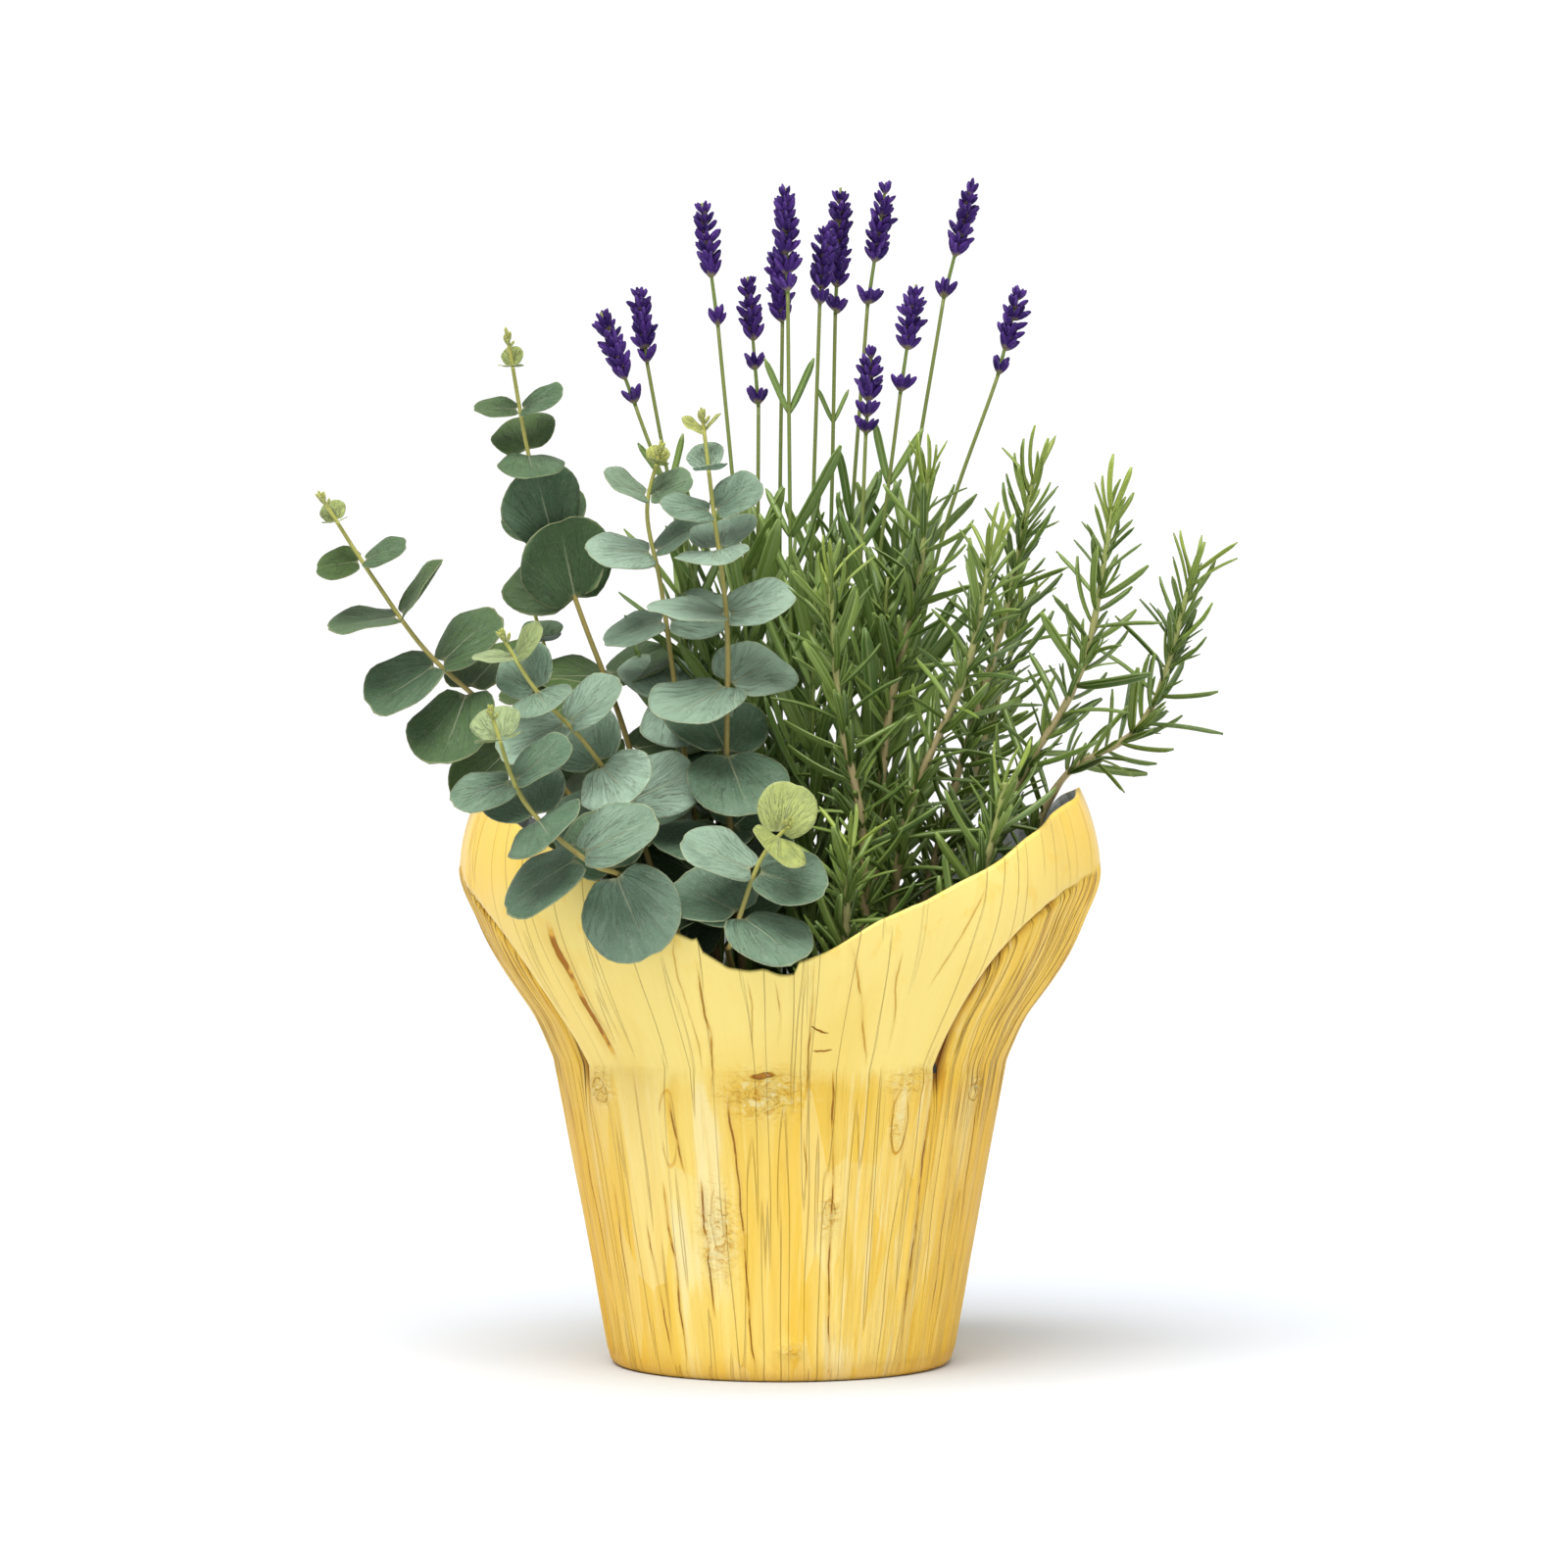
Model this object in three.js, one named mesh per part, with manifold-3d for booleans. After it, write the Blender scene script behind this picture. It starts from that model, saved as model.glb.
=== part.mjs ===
// A planted herb pot: lavender, eucalyptus and rosemary in a nursery pot that stands in a wooden cover.
// Millimetres, +Z up, -Y is the front. The origin is the centre of the cover's foot.
import * as THREE from "three";
import { mergeVertices } from "three/addons/utils/BufferGeometryUtils.js";
import Module from "manifold-3d";

const wasm = await Module();
wasm.setup();

// ---- driving dimensions ----

// wooden cover
const footRadius = 63.6; // outside, where the wall starts
const footRound = 4; // rounded edge under the wall
const neckRadius = 83.5; // outside, at the fold under the skirt
const neckHeight = 112;
const coverWall = 1.5;
const coverFloor = 1.5;
const frontFlare = 32; // how far the skirt stands out from the neck, front and back
const sideFlare = 34.7; // and at its two sides
const flareRise = 70; // height over the neck at which the skirt is widest
const peakRise = 100; // rim over the neck at the two side peaks
const peakLean = 8; // how far a peak leans back in
const dipRise = 35; // rim over the neck at the front and back dips
const creaseDepth = 3; // fold line between a broad panel and a side gusset
const creaseStart = 48; // azimuth of a fold line at the neck, degrees from the front or back
const creaseWidth = 9; // half width of the fold, degrees
const dipRound = 0.1; // softens the lowest point of a dip
const coverSides = 40;

// nursery pot and soil
const fitGap = 0.3; // between pieces that touch
const potGap = 1.4; // between the cover's wall and the nursery pot
const potWall = 1.2;
const potHeight = 114;
const lipWidth = 1; // bead round the pot's top edge
const lipHeight = 6;
const drainRadius = 3.5;
const drainCircle = 0.72; // drain holes stand at this share of the pot's base radius
const drainHoles = 6;
const soilDrop = 9; // soil edge below the pot's top
const soilCrown = 3; // soil centre above its edge
const soilSides = 26;
const rootDepth = 14; // how deep each stem stands in the soil

// lavender
const stalkRadius = 0.95;
const whorlRadius = 4.4; // lowest ring of buds
const spikeRadius = 5.6;
const leafletLength = 44;
const leafletWidth = 3.6;
const tuftRadius = 1.1; // stem of a leafy tuft

// eucalyptus
const twigRadius = 1.3;
const roundLeafAspect = 1.1; // width over length
const leafThickness = 0.8;
const light = new THREE.Vector3(0, -0.9, 0.45); // where the leaf blades turn to

// rosemary
const sprigRadius = 1.8;
const needleLength = 25;
const needleWidth = 2.4;
const needleThickness = 1.2;
const stemSides = 5;
const needleRings = 4; // rings of needles on each sprig
const needlesPerRing = 3;

const rimClearance = 5; // a stem over the rim stands this far above it
const routeNeck = 83.5; // the routes below are drawn for a neck of this radius
const routeDrop = 4; // and their heights start this far below it
const plantShift = 1.5; // the planting stands this far to the right of the pot's axis

// ---- solids ----

const radians = THREE.MathUtils.degToRad;

function solidOf(geometry) {
  const bare = geometry.clone();
  bare.deleteAttribute("normal");
  bare.deleteAttribute("uv");
  const merged = mergeVertices(bare, 1e-4);
  return new wasm.Manifold(
    new wasm.Mesh({
      numProp: 3,
      vertProperties: merged.attributes.position.array,
      triVerts: new Uint32Array(merged.index.array),
    }),
  );
}

function geometryOf(solid) {
  const { vertProperties, triVerts } = solid.getMesh();
  const geometry = new THREE.BufferGeometry();
  geometry.setAttribute("position", new THREE.BufferAttribute(vertProperties, 3));
  geometry.setIndex(new THREE.BufferAttribute(triVerts, 1));
  const faceted = geometry.toNonIndexed();
  faceted.computeVertexNormals();
  return faceted;
}

// A turned shape about the Z axis, from [radius, height] pairs.
function turned(profile, sides) {
  const points = profile.map(([radius, height]) => new THREE.Vector2(radius, height));
  return new THREE.LatheGeometry(points, sides).rotateX(Math.PI / 2);
}

// A round section swept along a smooth line through the points.
function tube(points, radius, sides, steps) {
  const section = new THREE.Shape();
  for (let i = 0; i < sides; i++) {
    const turn = (2 * Math.PI * i) / sides;
    section.lineTo(radius * Math.cos(turn), radius * Math.sin(turn));
  }
  section.curves.shift();
  const extrudePath = new THREE.CatmullRomCurve3(points, false, "centripetal");
  return new THREE.ExtrudeGeometry(section, { steps, extrudePath });
}

// A flat blade that starts at the origin along +Y, from [half width, length] pairs.
function blade(outline, thickness) {
  const left = outline.map(([half, along]) => new THREE.Vector2(-half, along));
  const right = outline.filter(([half]) => half > 0).map(([half, along]) => new THREE.Vector2(half, along));
  const shape = new THREE.Shape([...right, ...left.reverse()]);
  return new THREE.ExtrudeGeometry(shape, { depth: thickness, bevelEnabled: false }).translate(0, 0, -thickness / 2);
}

// ---- cover, nursery pot and soil ----

// Rim height over the neck. side is 0 at the front and back and 1 at the two sides.
function rimRise(side) {
  const climb = (Math.hypot(side, dipRound) - dipRound) / (Math.hypot(1, dipRound) - dipRound);
  return dipRise + (peakRise - dipRise) * climb;
}

// How far the skirt stands out from the neck at a height over it.
function skirtSpread(side, rise) {
  const flare = frontFlare + (sideFlare - frontFlare) * side * side;
  const open = Math.sin((Math.min(rise / flareRise, 1) * Math.PI) / 2) ** 1.1;
  const over = Math.max(rise - flareRise, 0) / (peakRise - flareRise);
  return flare * open - peakLean * over * over - creaseAt(side, rise);
}

// Depth of the fold line, which climbs from the neck to the silhouette.
function creaseAt(side, rise) {
  const climb = Math.min(rise / flareRise, 1);
  const foldAngle = creaseStart + (90 - creaseStart) * climb ** 1.5;
  const away = (THREE.MathUtils.radToDeg(Math.asin(side)) - foldAngle) / creaseWidth;
  return creaseDepth * Math.exp(-away * away) * Math.sin(climb * Math.PI);
}

function coverGeometry() {
  const outerRises = [0, 0.12, 0.25, 0.4, 0.6, 0.8, 1];
  const top = neckHeight + peakRise;
  const innerFoot = footRadius - coverWall;
  const profile = [
    [0, 0],
    [footRadius - footRound, 0],
    [footRadius - footRound * 0.3, footRound * 0.3],
    [footRadius, footRound],
    ...outerRises.map((share) => [neckRadius, neckHeight + share * peakRise]),
    ...outerRises.map((share) => [neckRadius - coverWall, top - share * peakRise]),
    [innerFoot, footRound + coverFloor],
    [innerFoot - footRound, coverFloor],
    [0, coverFloor],
  ];
  const cover = turned(profile, coverSides);
  const place = cover.attributes.position;
  for (let i = 0; i < place.count; i++) {
    const x = place.getX(i);
    const y = place.getY(i);
    const share = (place.getZ(i) - neckHeight) / peakRise;
    if (share <= 0) continue;
    const radius = Math.hypot(x, y);
    const side = Math.min(Math.abs(x) / radius, 1);
    const rise = share * rimRise(side);
    const stretch = 1 + skirtSpread(side, rise) / radius;
    place.setXYZ(i, x * stretch, y * stretch, neckHeight + rise);
  }
  return cover;
}

// The cover's inner radius at a height below the neck.
function coverInside(height) {
  const climb = (height - footRound) / (neckHeight - footRound);
  return footRadius + (neckRadius - footRadius) * climb - coverWall;
}

const potBottom = coverFloor + fitGap;
const potTop = potBottom + potHeight;
const potBaseRadius = coverInside(footRound) - footRound - potGap;
const potTopRadius = coverInside(Math.min(potTop - lipHeight, neckHeight)) - potGap - lipWidth;
const soilBottom = potBottom + potWall + fitGap;
const soilEdge = potTop - soilDrop;
const soilTop = soilEdge + soilCrown;

// The nursery pot's outer radius at a height.
function potRadius(height) {
  return potBaseRadius + ((potTopRadius - potBaseRadius) * (height - potBottom)) / potHeight;
}

function nurseryPot() {
  const lipBottom = potTop - lipHeight;
  const shell = solidOf(
    turned(
      [
        [0, potBottom],
        [potBaseRadius, potBottom],
        [potRadius(lipBottom), lipBottom],
        [potRadius(lipBottom) + lipWidth, lipBottom],
        [potTopRadius + lipWidth, potTop],
        [potTopRadius - potWall, potTop],
        [potRadius(potBottom + potWall) - potWall, potBottom + potWall],
        [0, potBottom + potWall],
      ],
      coverSides,
    ),
  );
  let pierced = shell;
  for (let i = 0; i < drainHoles; i++) {
    const turn = (2 * Math.PI * i) / drainHoles;
    const reach = potBaseRadius * drainCircle;
    const hole = new THREE.CylinderGeometry(drainRadius, drainRadius, potWall * 4, 8).rotateX(Math.PI / 2);
    hole.translate(reach * Math.cos(turn), reach * Math.sin(turn), potBottom);
    pierced = pierced.subtract(solidOf(hole));
  }
  return pierced;
}

function soilBlock(stems) {
  const inside = (height) => potRadius(height) - potWall - fitGap;
  let block = solidOf(
    turned(
      [
        [0, soilBottom],
        [inside(soilBottom), soilBottom],
        [inside(soilEdge), soilEdge],
        [inside(soilEdge) * 0.6, soilEdge + soilCrown * 0.7],
        [0, soilTop],
      ],
      soilSides,
    ),
  );
  for (const { root, radius } of stems) {
    const hole = (radius + fitGap) / Math.cos(Math.PI / 6);
    const height = rootDepth + soilCrown * 2;
    const bore = new THREE.CylinderGeometry(hole, hole, height, 6).rotateX(Math.PI / 2);
    bore.translate(root.x, root.y, soilTop - rootDepth - fitGap + height / 2);
    block = block.subtract(solidOf(bore));
  }
  return block;
}

// ---- where the stems go ----

// A point beside the pot's axis, at a height over where the routes start.
function at([x, y, height]) {
  const spread = neckRadius / routeNeck;
  return new THREE.Vector3(x * spread + plantShift, y * spread, neckHeight - routeDrop + height);
}

// A point over the rim, at an azimuth in degrees from the front towards +X.
function overRim(azimuth, radius) {
  const turn = radians(azimuth);
  const side = Math.abs(Math.sin(turn));
  const rise = rimRise(side);
  const reach = neckRadius + skirtSpread(side, rise) - coverWall / 2;
  const height = neckHeight + rise + rimClearance + radius;
  return new THREE.Vector3(reach * Math.sin(turn), -reach * Math.cos(turn), height);
}

// A stem from its root in the soil through its points, with its solid.
function plantedStem(root, points, radius, steps) {
  const foot = at([root[0], root[1], 0]).setZ(soilTop);
  const buried = foot.clone().setZ(soilTop - rootDepth);
  const line = [buried, foot, foot.clone().setZ(soilTop + rootDepth), ...points];
  const curve = new THREE.CatmullRomCurve3(line, false, "centripetal");
  return { root: foot, radius, curve, solid: solidOf(tube(line, radius, stemSides, steps)) };
}

// Lavender stalks: root, a point on the way, the lowest ring of buds, the tip, and where the spike starts.
const stalks = [
  { root: [-15, 14], bend: [-34, 17, 182], base: [-56, 20, 247], tip: [-69, 20, 282], spike: 0.27 },
  { root: [-16, 30], bend: [-38, 33, 185], base: [-52, 34, 264], tip: [-55, 34, 291], spike: 0.2 },
  { root: [-5, 11], bend: [-17, 13, 190], base: [-25, 14, 276], tip: [-31, 14, 322], spike: 0.39 },
  { root: [-5, 24], bend: [-10, 26, 180], base: [-10, 26, 247], tip: [-14, 26, 296], spike: 0.5 },
  { root: [4, 8], bend: [2, 9, 190], base: [1, 10, 288], tip: [0, 10, 327], spike: 0.16 },
  { root: [0, 36], bend: [-2, 39, 190], base: [-1, 40, 280], tip: [-3, 40, 306], spike: 0.12 },
  { root: [7, 20], bend: [10, 23, 190], base: [13, 24, 285], tip: [15, 24, 312], spike: 0.2 },
  { root: [10, 33], bend: [17, 37, 190], base: [19, 38, 283], tip: [21, 38, 331], spike: 0.2 },
  { root: [14, 6], bend: [27, 7, 170], base: [30, 8, 235], tip: [32, 8, 266], spike: 0.4 },
  { root: [15, 26], bend: [24, 28, 190], base: [31, 28, 285], tip: [38, 28, 331], spike: 0.34 },
  { root: [19, 15], bend: [33, 16, 170], base: [43, 16, 251], tip: [49, 16, 292], spike: 0.4 },
  { root: [24, 34], bend: [44, 38, 190], base: [60, 40, 289], tip: [71, 40, 332], spike: 0.36 },
  { root: [28, 23], bend: [57, 28, 190], base: [80, 28, 259], tip: [88, 28, 290], spike: 0.3 },
];

// Leafy lavender tufts: root, points on the way and the end of the stem.
const tufts = [
  { root: [-24, 24], line: [[-34, 34, 110], [-40, 37, 190]] },
  { root: [-10, 42], line: [[-19, 47, 110], [-24, 50, 192]] },
  { root: [-9, 18], line: [[-14, 21, 120], [-15, 19, 198]] },
  { root: [4, 46], line: [[2, 52, 110], [0, 54, 190]] },
  { root: [9, 13], line: [[10, 3, 110], [11, 2, 178]] },
  { root: [17, 40], line: [[20, 46, 120], [24, 48, 205]] },
  { root: [22, 5], line: [[32, 7, 100], [38, 0, 182]] },
  { root: [31, 39], line: [[42, 46, 120], [49, 50, 205]] },
];

// Eucalyptus twigs: each leaf pair is [share of the twig, turn about it, lift towards its tip, length].
const twigs = [
  {
    root: [-45, 8],
    line: [at([-73, 0, 91]), at([-102, 0, 126]), at([-132, -5, 154]), at([-151, -5, 180]), at([-171, -5, 211])],
    toLight: 0.8,
    pairs: [
      [0.45, 290, 0, 28],
      [0.56, 205, 0, 30],
      [0.66, 245, 0, 31],
      [0.715, 205, 15, 28],
      [0.8, 190, 25, 26],
      [0.895, 180, 10, 17],
      [0.96, 100, 35, 9],
    ],
  },
  {
    root: [-34, 22],
    line: [at([-59, 25, 121]), at([-77, 25, 170]), at([-94, 22, 220]), at([-104, 20, 273])],
    toLight: 1.5,
    pairs: [
      [0.45, 200, 0, 28],
      [0.55, 185, 10, 26],
      [0.65, 120, 10, 34],
      [0.735, 105, 10, 29],
      [0.85, 100, 10, 20],
      [0.905, 180, 20, 17],
      [0.96, 90, 40, 8],
    ],
  },
  {
    root: [-22, 2],
    line: [at([-39, 5, 128]), at([-46, 0, 179]), at([-51, -2, 207]), at([-46, -2, 229])],
    toLight: 0.9,
    pairs: [
      [0.5, 230, 0, 28],
      [0.62, 105, 5, 29],
      [0.735, 190, 0, 24],
      [0.84, 195, 20, 24],
      [0.925, 190, 30, 18],
      [0.975, 90, 45, 8],
    ],
  },
  {
    root: [-14, -22],
    line: [at([-21, -30, 106]), at([-21, -38, 163]), at([-26, -38, 205]), at([-30, -36, 239])],
    toLight: 0.8,
    pairs: [
      [0.4, 230, 5, 32],
      [0.51, 285, 5, 33],
      [0.61, 228, 0, 31],
      [0.71, 183, 20, 27],
      [0.805, 262, 10, 23],
      [0.86, 195, 25, 20],
      [0.92, 100, 30, 12],
      [0.975, 10, 40, 9],
    ],
  },
  {
    root: [-36, -14],
    line: [at([-53, -35, 88]), at([-70, -55, 118]), at([-89, -60, 139]), at([-101, -60, 158])],
    toLight: 0.9,
    pairs: [
      [0.6, 200, 0, 28],
      [0.7, 300, 5, 26],
      [0.8, 200, 10, 25],
      [0.88, 290, 20, 20],
      [0.955, 190, 30, 14],
    ],
  },
  {
    root: [-30, -38],
    line: [at([-40, -70, 56]), overRim(-29, twigRadius), at([-67, -114, 78]), at([-90, -112, 99]), at([-102, -108, 130])],
    toLight: 1.2,
    pairs: [
      [0.61, 290, -10, 31],
      [0.7, 200, 5, 30],
      [0.8, 290, 10, 26],
      [0.875, 200, 15, 22],
      [0.95, 100, 30, 15],
    ],
  },
  {
    root: [-12, -46],
    line: [at([-20, -75, 45]), overRim(-9, twigRadius), at([-8, -110, 80]), at([1, -115, 91])],
    toLight: 1.3,
    pairs: [
      [0.7, 315, 0, 30],
      [0.86, 345, 10, 26],
      [0.965, 80, 30, 18],
    ],
  },
  {
    root: [-42, 36],
    line: [at([-66, 48, 90]), at([-82, 54, 128]), at([-91, 56, 155]), at([-97, 56, 175])],
    toLight: 0.4,
    pairs: [
      [0.45, 100, 0, 27],
      [0.57, 190, 0, 29],
      [0.7, 95, 5, 27],
      [0.82, 185, 10, 23],
      [0.92, 90, 25, 15],
    ],
  },
];

// Rosemary sprigs: root and points on the way.
const sprigs = [
  { root: [28, -30], line: [at([28, -42, 88]), at([20, -43, 130]), at([16, -42, 180])] },
  { root: [31, -3], line: [at([38, -2, 128]), at([50, 0, 185]), at([53, 0, 222])] },
  { root: [37, -17], line: [at([44, -30, 92]), at([66, -38, 148]), at([75, -38, 192])] },
  { root: [41, 10], line: [at([62, 14, 100]), at([82, 15, 168]), at([93, 15, 221])] },
  { root: [50, -9], line: [at([84, -15, 103]), at([108, -18, 146]), at([120, -18, 206])] },
  { root: [54, 8], line: [at([88, 26, 74]), overRim(105, sprigRadius), at([134, 28, 128]), at([154, 24, 187])] },
  { root: [49, -36], line: [at([68, -66, 65]), at([74, -71, 88]), at([78, -72, 106])] },
  { root: [16, -48], line: [at([21, -76, 45]), at([22, -82, 68]), at([23, -84, 84])] },
  { root: [44, 30], line: [at([66, 48, 90]), at([82, 56, 140]), at([92, 58, 176])] },
];

// ---- flowers and leaves ----

// A flower head on its own axis: a ring of buds, bare stalk, then the spike.
function flowerHead({ base, tip, spike }) {
  const foot = at(base);
  const axis = at(tip).sub(foot);
  const length = axis.length();
  const ringEnd = Math.min(0.13, spike * 0.6) * length;
  const start = spike * length;
  const body = length - start;
  const head = turned(
    [
      [0, 0],
      [stalkRadius, 0],
      [whorlRadius, ringEnd * 0.55],
      [stalkRadius, ringEnd],
      [stalkRadius, start],
      [spikeRadius * 0.9, start + body * 0.16],
      [spikeRadius, start + body * 0.45],
      [spikeRadius * 0.6, start + body * 0.85],
      [0, length],
    ],
    8,
  );
  const turn = new THREE.Quaternion().setFromUnitVectors(new THREE.Vector3(0, 0, 1), axis.normalize());
  return solidOf(head.applyQuaternion(turn).translate(foot.x, foot.y, foot.z));
}

function stalkStem({ root, bend, base, tip }) {
  const foot = at(base);
  const lean = at(tip).sub(foot).normalize();
  const end = foot.clone().addScaledVector(lean, -2 * fitGap);
  return plantedStem(root, [at(bend), end], stalkRadius, 8);
}

// Places a blade on a stem: turn is about the stem, lift is towards the stem's tip, both in degrees,
// and toLight is how much the blade and its partner lean together to the light.
function onStem(curve, share, turn, lift, toLight = 0) {
  const along = curve.getTangentAt(share).addScaledVector(light, toLight).normalize();
  const across = new THREE.Vector3(1, 0, 0).addScaledVector(along, -along.x).normalize();
  const behind = new THREE.Vector3().crossVectors(along, across);
  const out = across.multiplyScalar(Math.cos(radians(turn))).addScaledVector(behind, Math.sin(radians(turn)));
  const face = along.clone().multiplyScalar(Math.cos(radians(lift))).addScaledVector(out, -Math.sin(radians(lift)));
  const point = out.multiplyScalar(Math.cos(radians(lift))).addScaledVector(along, Math.sin(radians(lift)));
  const side = new THREE.Vector3().crossVectors(point, face);
  return new THREE.Matrix4().makeBasis(side, point, face).setPosition(curve.getPointAt(share));
}

function roundLeaf(length, grow = 0) {
  const half = (length * roundLeafAspect) / 2 + grow;
  return blade(
    [
      [1 + grow, 0],
      [half * 0.86, length * 0.25],
      [half * 0.94, length * 0.68],
      [half * 0.3, length + grow],
    ],
    leafThickness + 2 * grow,
  );
}

function strap(length, width, thickness, grow = 0) {
  const half = width / 2 + grow;
  return blade(
    [
      [half * 0.7, 0],
      [half * 0.45, length + grow],
    ],
    thickness + 2 * grow,
  );
}

// Joins to a stem each leaf that has fitGap of room around it and closes no hollow with the others.
function leafed(stem, leaves, standing) {
  let plant = stem.solid;
  const others = standing.filter((other) => other !== stem);
  for (const { make, place } of leaves) {
    const room = solidOf(make(fitGap).applyMatrix4(place));
    if (others.some((other) => touches(room, other.solid))) continue;
    const fuller = plant.add(solidOf(make(0).applyMatrix4(place)));
    if (fuller.decompose().length === 1) plant = fuller;
  }
  stem.solid = plant;
  return plant;
}

function touches(one, other) {
  const a = one.boundingBox();
  const b = other.boundingBox();
  const apart = [0, 1, 2].some((k) => a.min[k] > b.max[k] || b.min[k] > a.max[k]);
  return !apart && one.intersect(other).volume() > 0;
}

function eucalyptusLeaves({ pairs, toLight }, curve) {
  const leaves = [];
  for (const [share, turn, lift, length] of pairs) {
    for (const facing of [turn, turn + 180]) {
      leaves.push({ make: (grow) => roundLeaf(length, grow), place: onStem(curve, share, facing, lift, toLight) });
    }
  }
  return leaves;
}

function rosemaryNeedles(curve) {
  const leaves = [];
  const firstRing = 0.45;
  for (let ring = 0; ring < needleRings; ring++) {
    const share = firstRing + ((0.97 - firstRing) * ring) / (needleRings - 1);
    for (let i = 0; i < needlesPerRing; i++) {
      const turn = (360 * i) / needlesPerRing + ring * 60 + 20;
      const lift = 35 + (30 * ring) / (needleRings - 1);
      const make = (grow) => strap(needleLength, needleWidth, needleThickness, grow);
      leaves.push({ make, place: onStem(curve, share, turn, lift) });
    }
  }
  return leaves;
}

function lavenderLeaves(curve) {
  const leaves = [];
  const count = 6;
  for (let i = 0; i < count; i++) {
    const share = 0.42 + (0.55 * i) / (count - 1);
    const make = (grow) => strap(leafletLength, leafletWidth, leafThickness, grow);
    leaves.push({ make, place: onStem(curve, share, i * 137.5, 55 + 4 * i) });
  }
  return leaves;
}

// ---- the plants, then the whole pot ----

const finishes = {
  cover: { color: "#d9b54a", roughness: 0.5 },
  nurseryPot: { color: "#141414", roughness: 0.6 },
  soil: { color: "#2a1d14", roughness: 0.95 },
  lavenderGreen: { color: "#5f7a3c", roughness: 0.6 },
  lavenderFlower: { color: "#3b2a78", roughness: 0.7 },
  eucalyptus: { color: "#6d8c7a", roughness: 0.6 },
  rosemary: { color: "#3f5f2f", roughness: 0.6 },
};

const pot = new THREE.Group();

function addPiece(name, geometry, finish) {
  const material = new THREE.MeshStandardMaterial({ metalness: 0, ...finishes[finish] });
  const mesh = new THREE.Mesh(geometry, material);
  mesh.name = name;
  pot.add(mesh);
}

const stalkStems = stalks.map(stalkStem);
const heads = stalks.map((stalk) => ({ solid: flowerHead(stalk) }));
const tuftStems = tufts.map(({ root, line }) => plantedStem(root, line.map(at), tuftRadius, 7));
const twigStems = twigs.map(({ root, line }) => plantedStem(root, line, twigRadius, 12));
const sprigStems = sprigs.map(({ root, line }) => plantedStem(root, line, sprigRadius, 9));
const stems = [...stalkStems, ...tuftStems, ...twigStems, ...sprigStems];

const cover = coverGeometry();
const innerPot = nurseryPot();
const soil = soilBlock(stems);
const standing = [{ solid: solidOf(cover) }, { solid: innerPot }, { solid: soil }, ...heads, ...stems];

addPiece("pot_cover", cover, "cover");
addPiece("nursery_pot", geometryOf(innerPot), "nurseryPot");
addPiece("soil", geometryOf(soil), "soil");
twigStems.forEach((stem, i) => {
  const plant = leafed(stem, eucalyptusLeaves(twigs[i], stem.curve), standing);
  addPiece(`eucalyptus_${i + 1}`, geometryOf(plant), "eucalyptus");
});
sprigStems.forEach((stem, i) => {
  const plant = leafed(stem, rosemaryNeedles(stem.curve), standing);
  addPiece(`rosemary_${i + 1}`, geometryOf(plant), "rosemary");
});
tuftStems.forEach((stem, i) => {
  const plant = leafed(stem, lavenderLeaves(stem.curve), standing);
  addPiece(`lavender_leaves_${i + 1}`, geometryOf(plant), "lavenderGreen");
});
stalkStems.forEach((stem, i) => {
  addPiece(`lavender_stalk_${i + 1}`, geometryOf(stem.solid), "lavenderGreen");
  addPiece(`lavender_flower_${i + 1}`, geometryOf(heads[i].solid), "lavenderFlower");
});

export default pot;
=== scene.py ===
import bisect
import math
import random

import bmesh
import bpy
from mathutils import Matrix, Vector, geometry, noise


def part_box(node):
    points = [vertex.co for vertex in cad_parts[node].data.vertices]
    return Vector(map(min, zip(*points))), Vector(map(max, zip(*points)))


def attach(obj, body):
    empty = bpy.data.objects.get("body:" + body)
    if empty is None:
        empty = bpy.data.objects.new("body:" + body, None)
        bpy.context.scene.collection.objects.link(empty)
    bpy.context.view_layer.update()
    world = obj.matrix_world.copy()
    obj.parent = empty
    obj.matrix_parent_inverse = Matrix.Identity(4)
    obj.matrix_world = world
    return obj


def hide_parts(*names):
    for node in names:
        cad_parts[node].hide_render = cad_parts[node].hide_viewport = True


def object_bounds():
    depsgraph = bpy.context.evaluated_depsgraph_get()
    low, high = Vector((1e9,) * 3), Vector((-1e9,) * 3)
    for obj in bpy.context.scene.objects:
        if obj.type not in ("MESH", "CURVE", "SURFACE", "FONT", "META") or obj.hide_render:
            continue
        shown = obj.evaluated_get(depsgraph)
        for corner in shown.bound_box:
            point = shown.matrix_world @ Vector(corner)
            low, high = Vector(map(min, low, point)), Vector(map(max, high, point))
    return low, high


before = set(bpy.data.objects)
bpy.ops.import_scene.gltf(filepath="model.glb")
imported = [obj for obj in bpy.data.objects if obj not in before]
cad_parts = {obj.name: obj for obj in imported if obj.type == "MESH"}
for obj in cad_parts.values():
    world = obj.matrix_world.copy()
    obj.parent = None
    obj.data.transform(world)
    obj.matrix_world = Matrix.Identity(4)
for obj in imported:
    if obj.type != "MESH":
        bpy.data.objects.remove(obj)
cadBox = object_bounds()
random.seed(7)

bpy.context.scene.view_settings.view_transform = "Standard"

# camera, light and floor
studio = {
    "distance": 1.7,  # camera to the pot's axis, metres
    "eyeShare": 0.485,  # camera height as a share of the object's height
    "sidestep": 0.0011,
    "lens": 105.5,
    "sunPower": 3.3,
    "sunWay": (0.27, 0.75, -1.6),
    "sunSpread": 48,  # degrees, for a soft edge on the shadows
    "fillPower": 2.0,
    "fillPlace": (1.3, -1.2, 0.7),
    "fillSize": 1.2,
    "skyBehind": 1.06,  # behind the object
    "skyAround": 0.54,
    "floorReach": 2.4,
    "floorColour": (0.70, 0.728, 0.775, 1),
}


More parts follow.
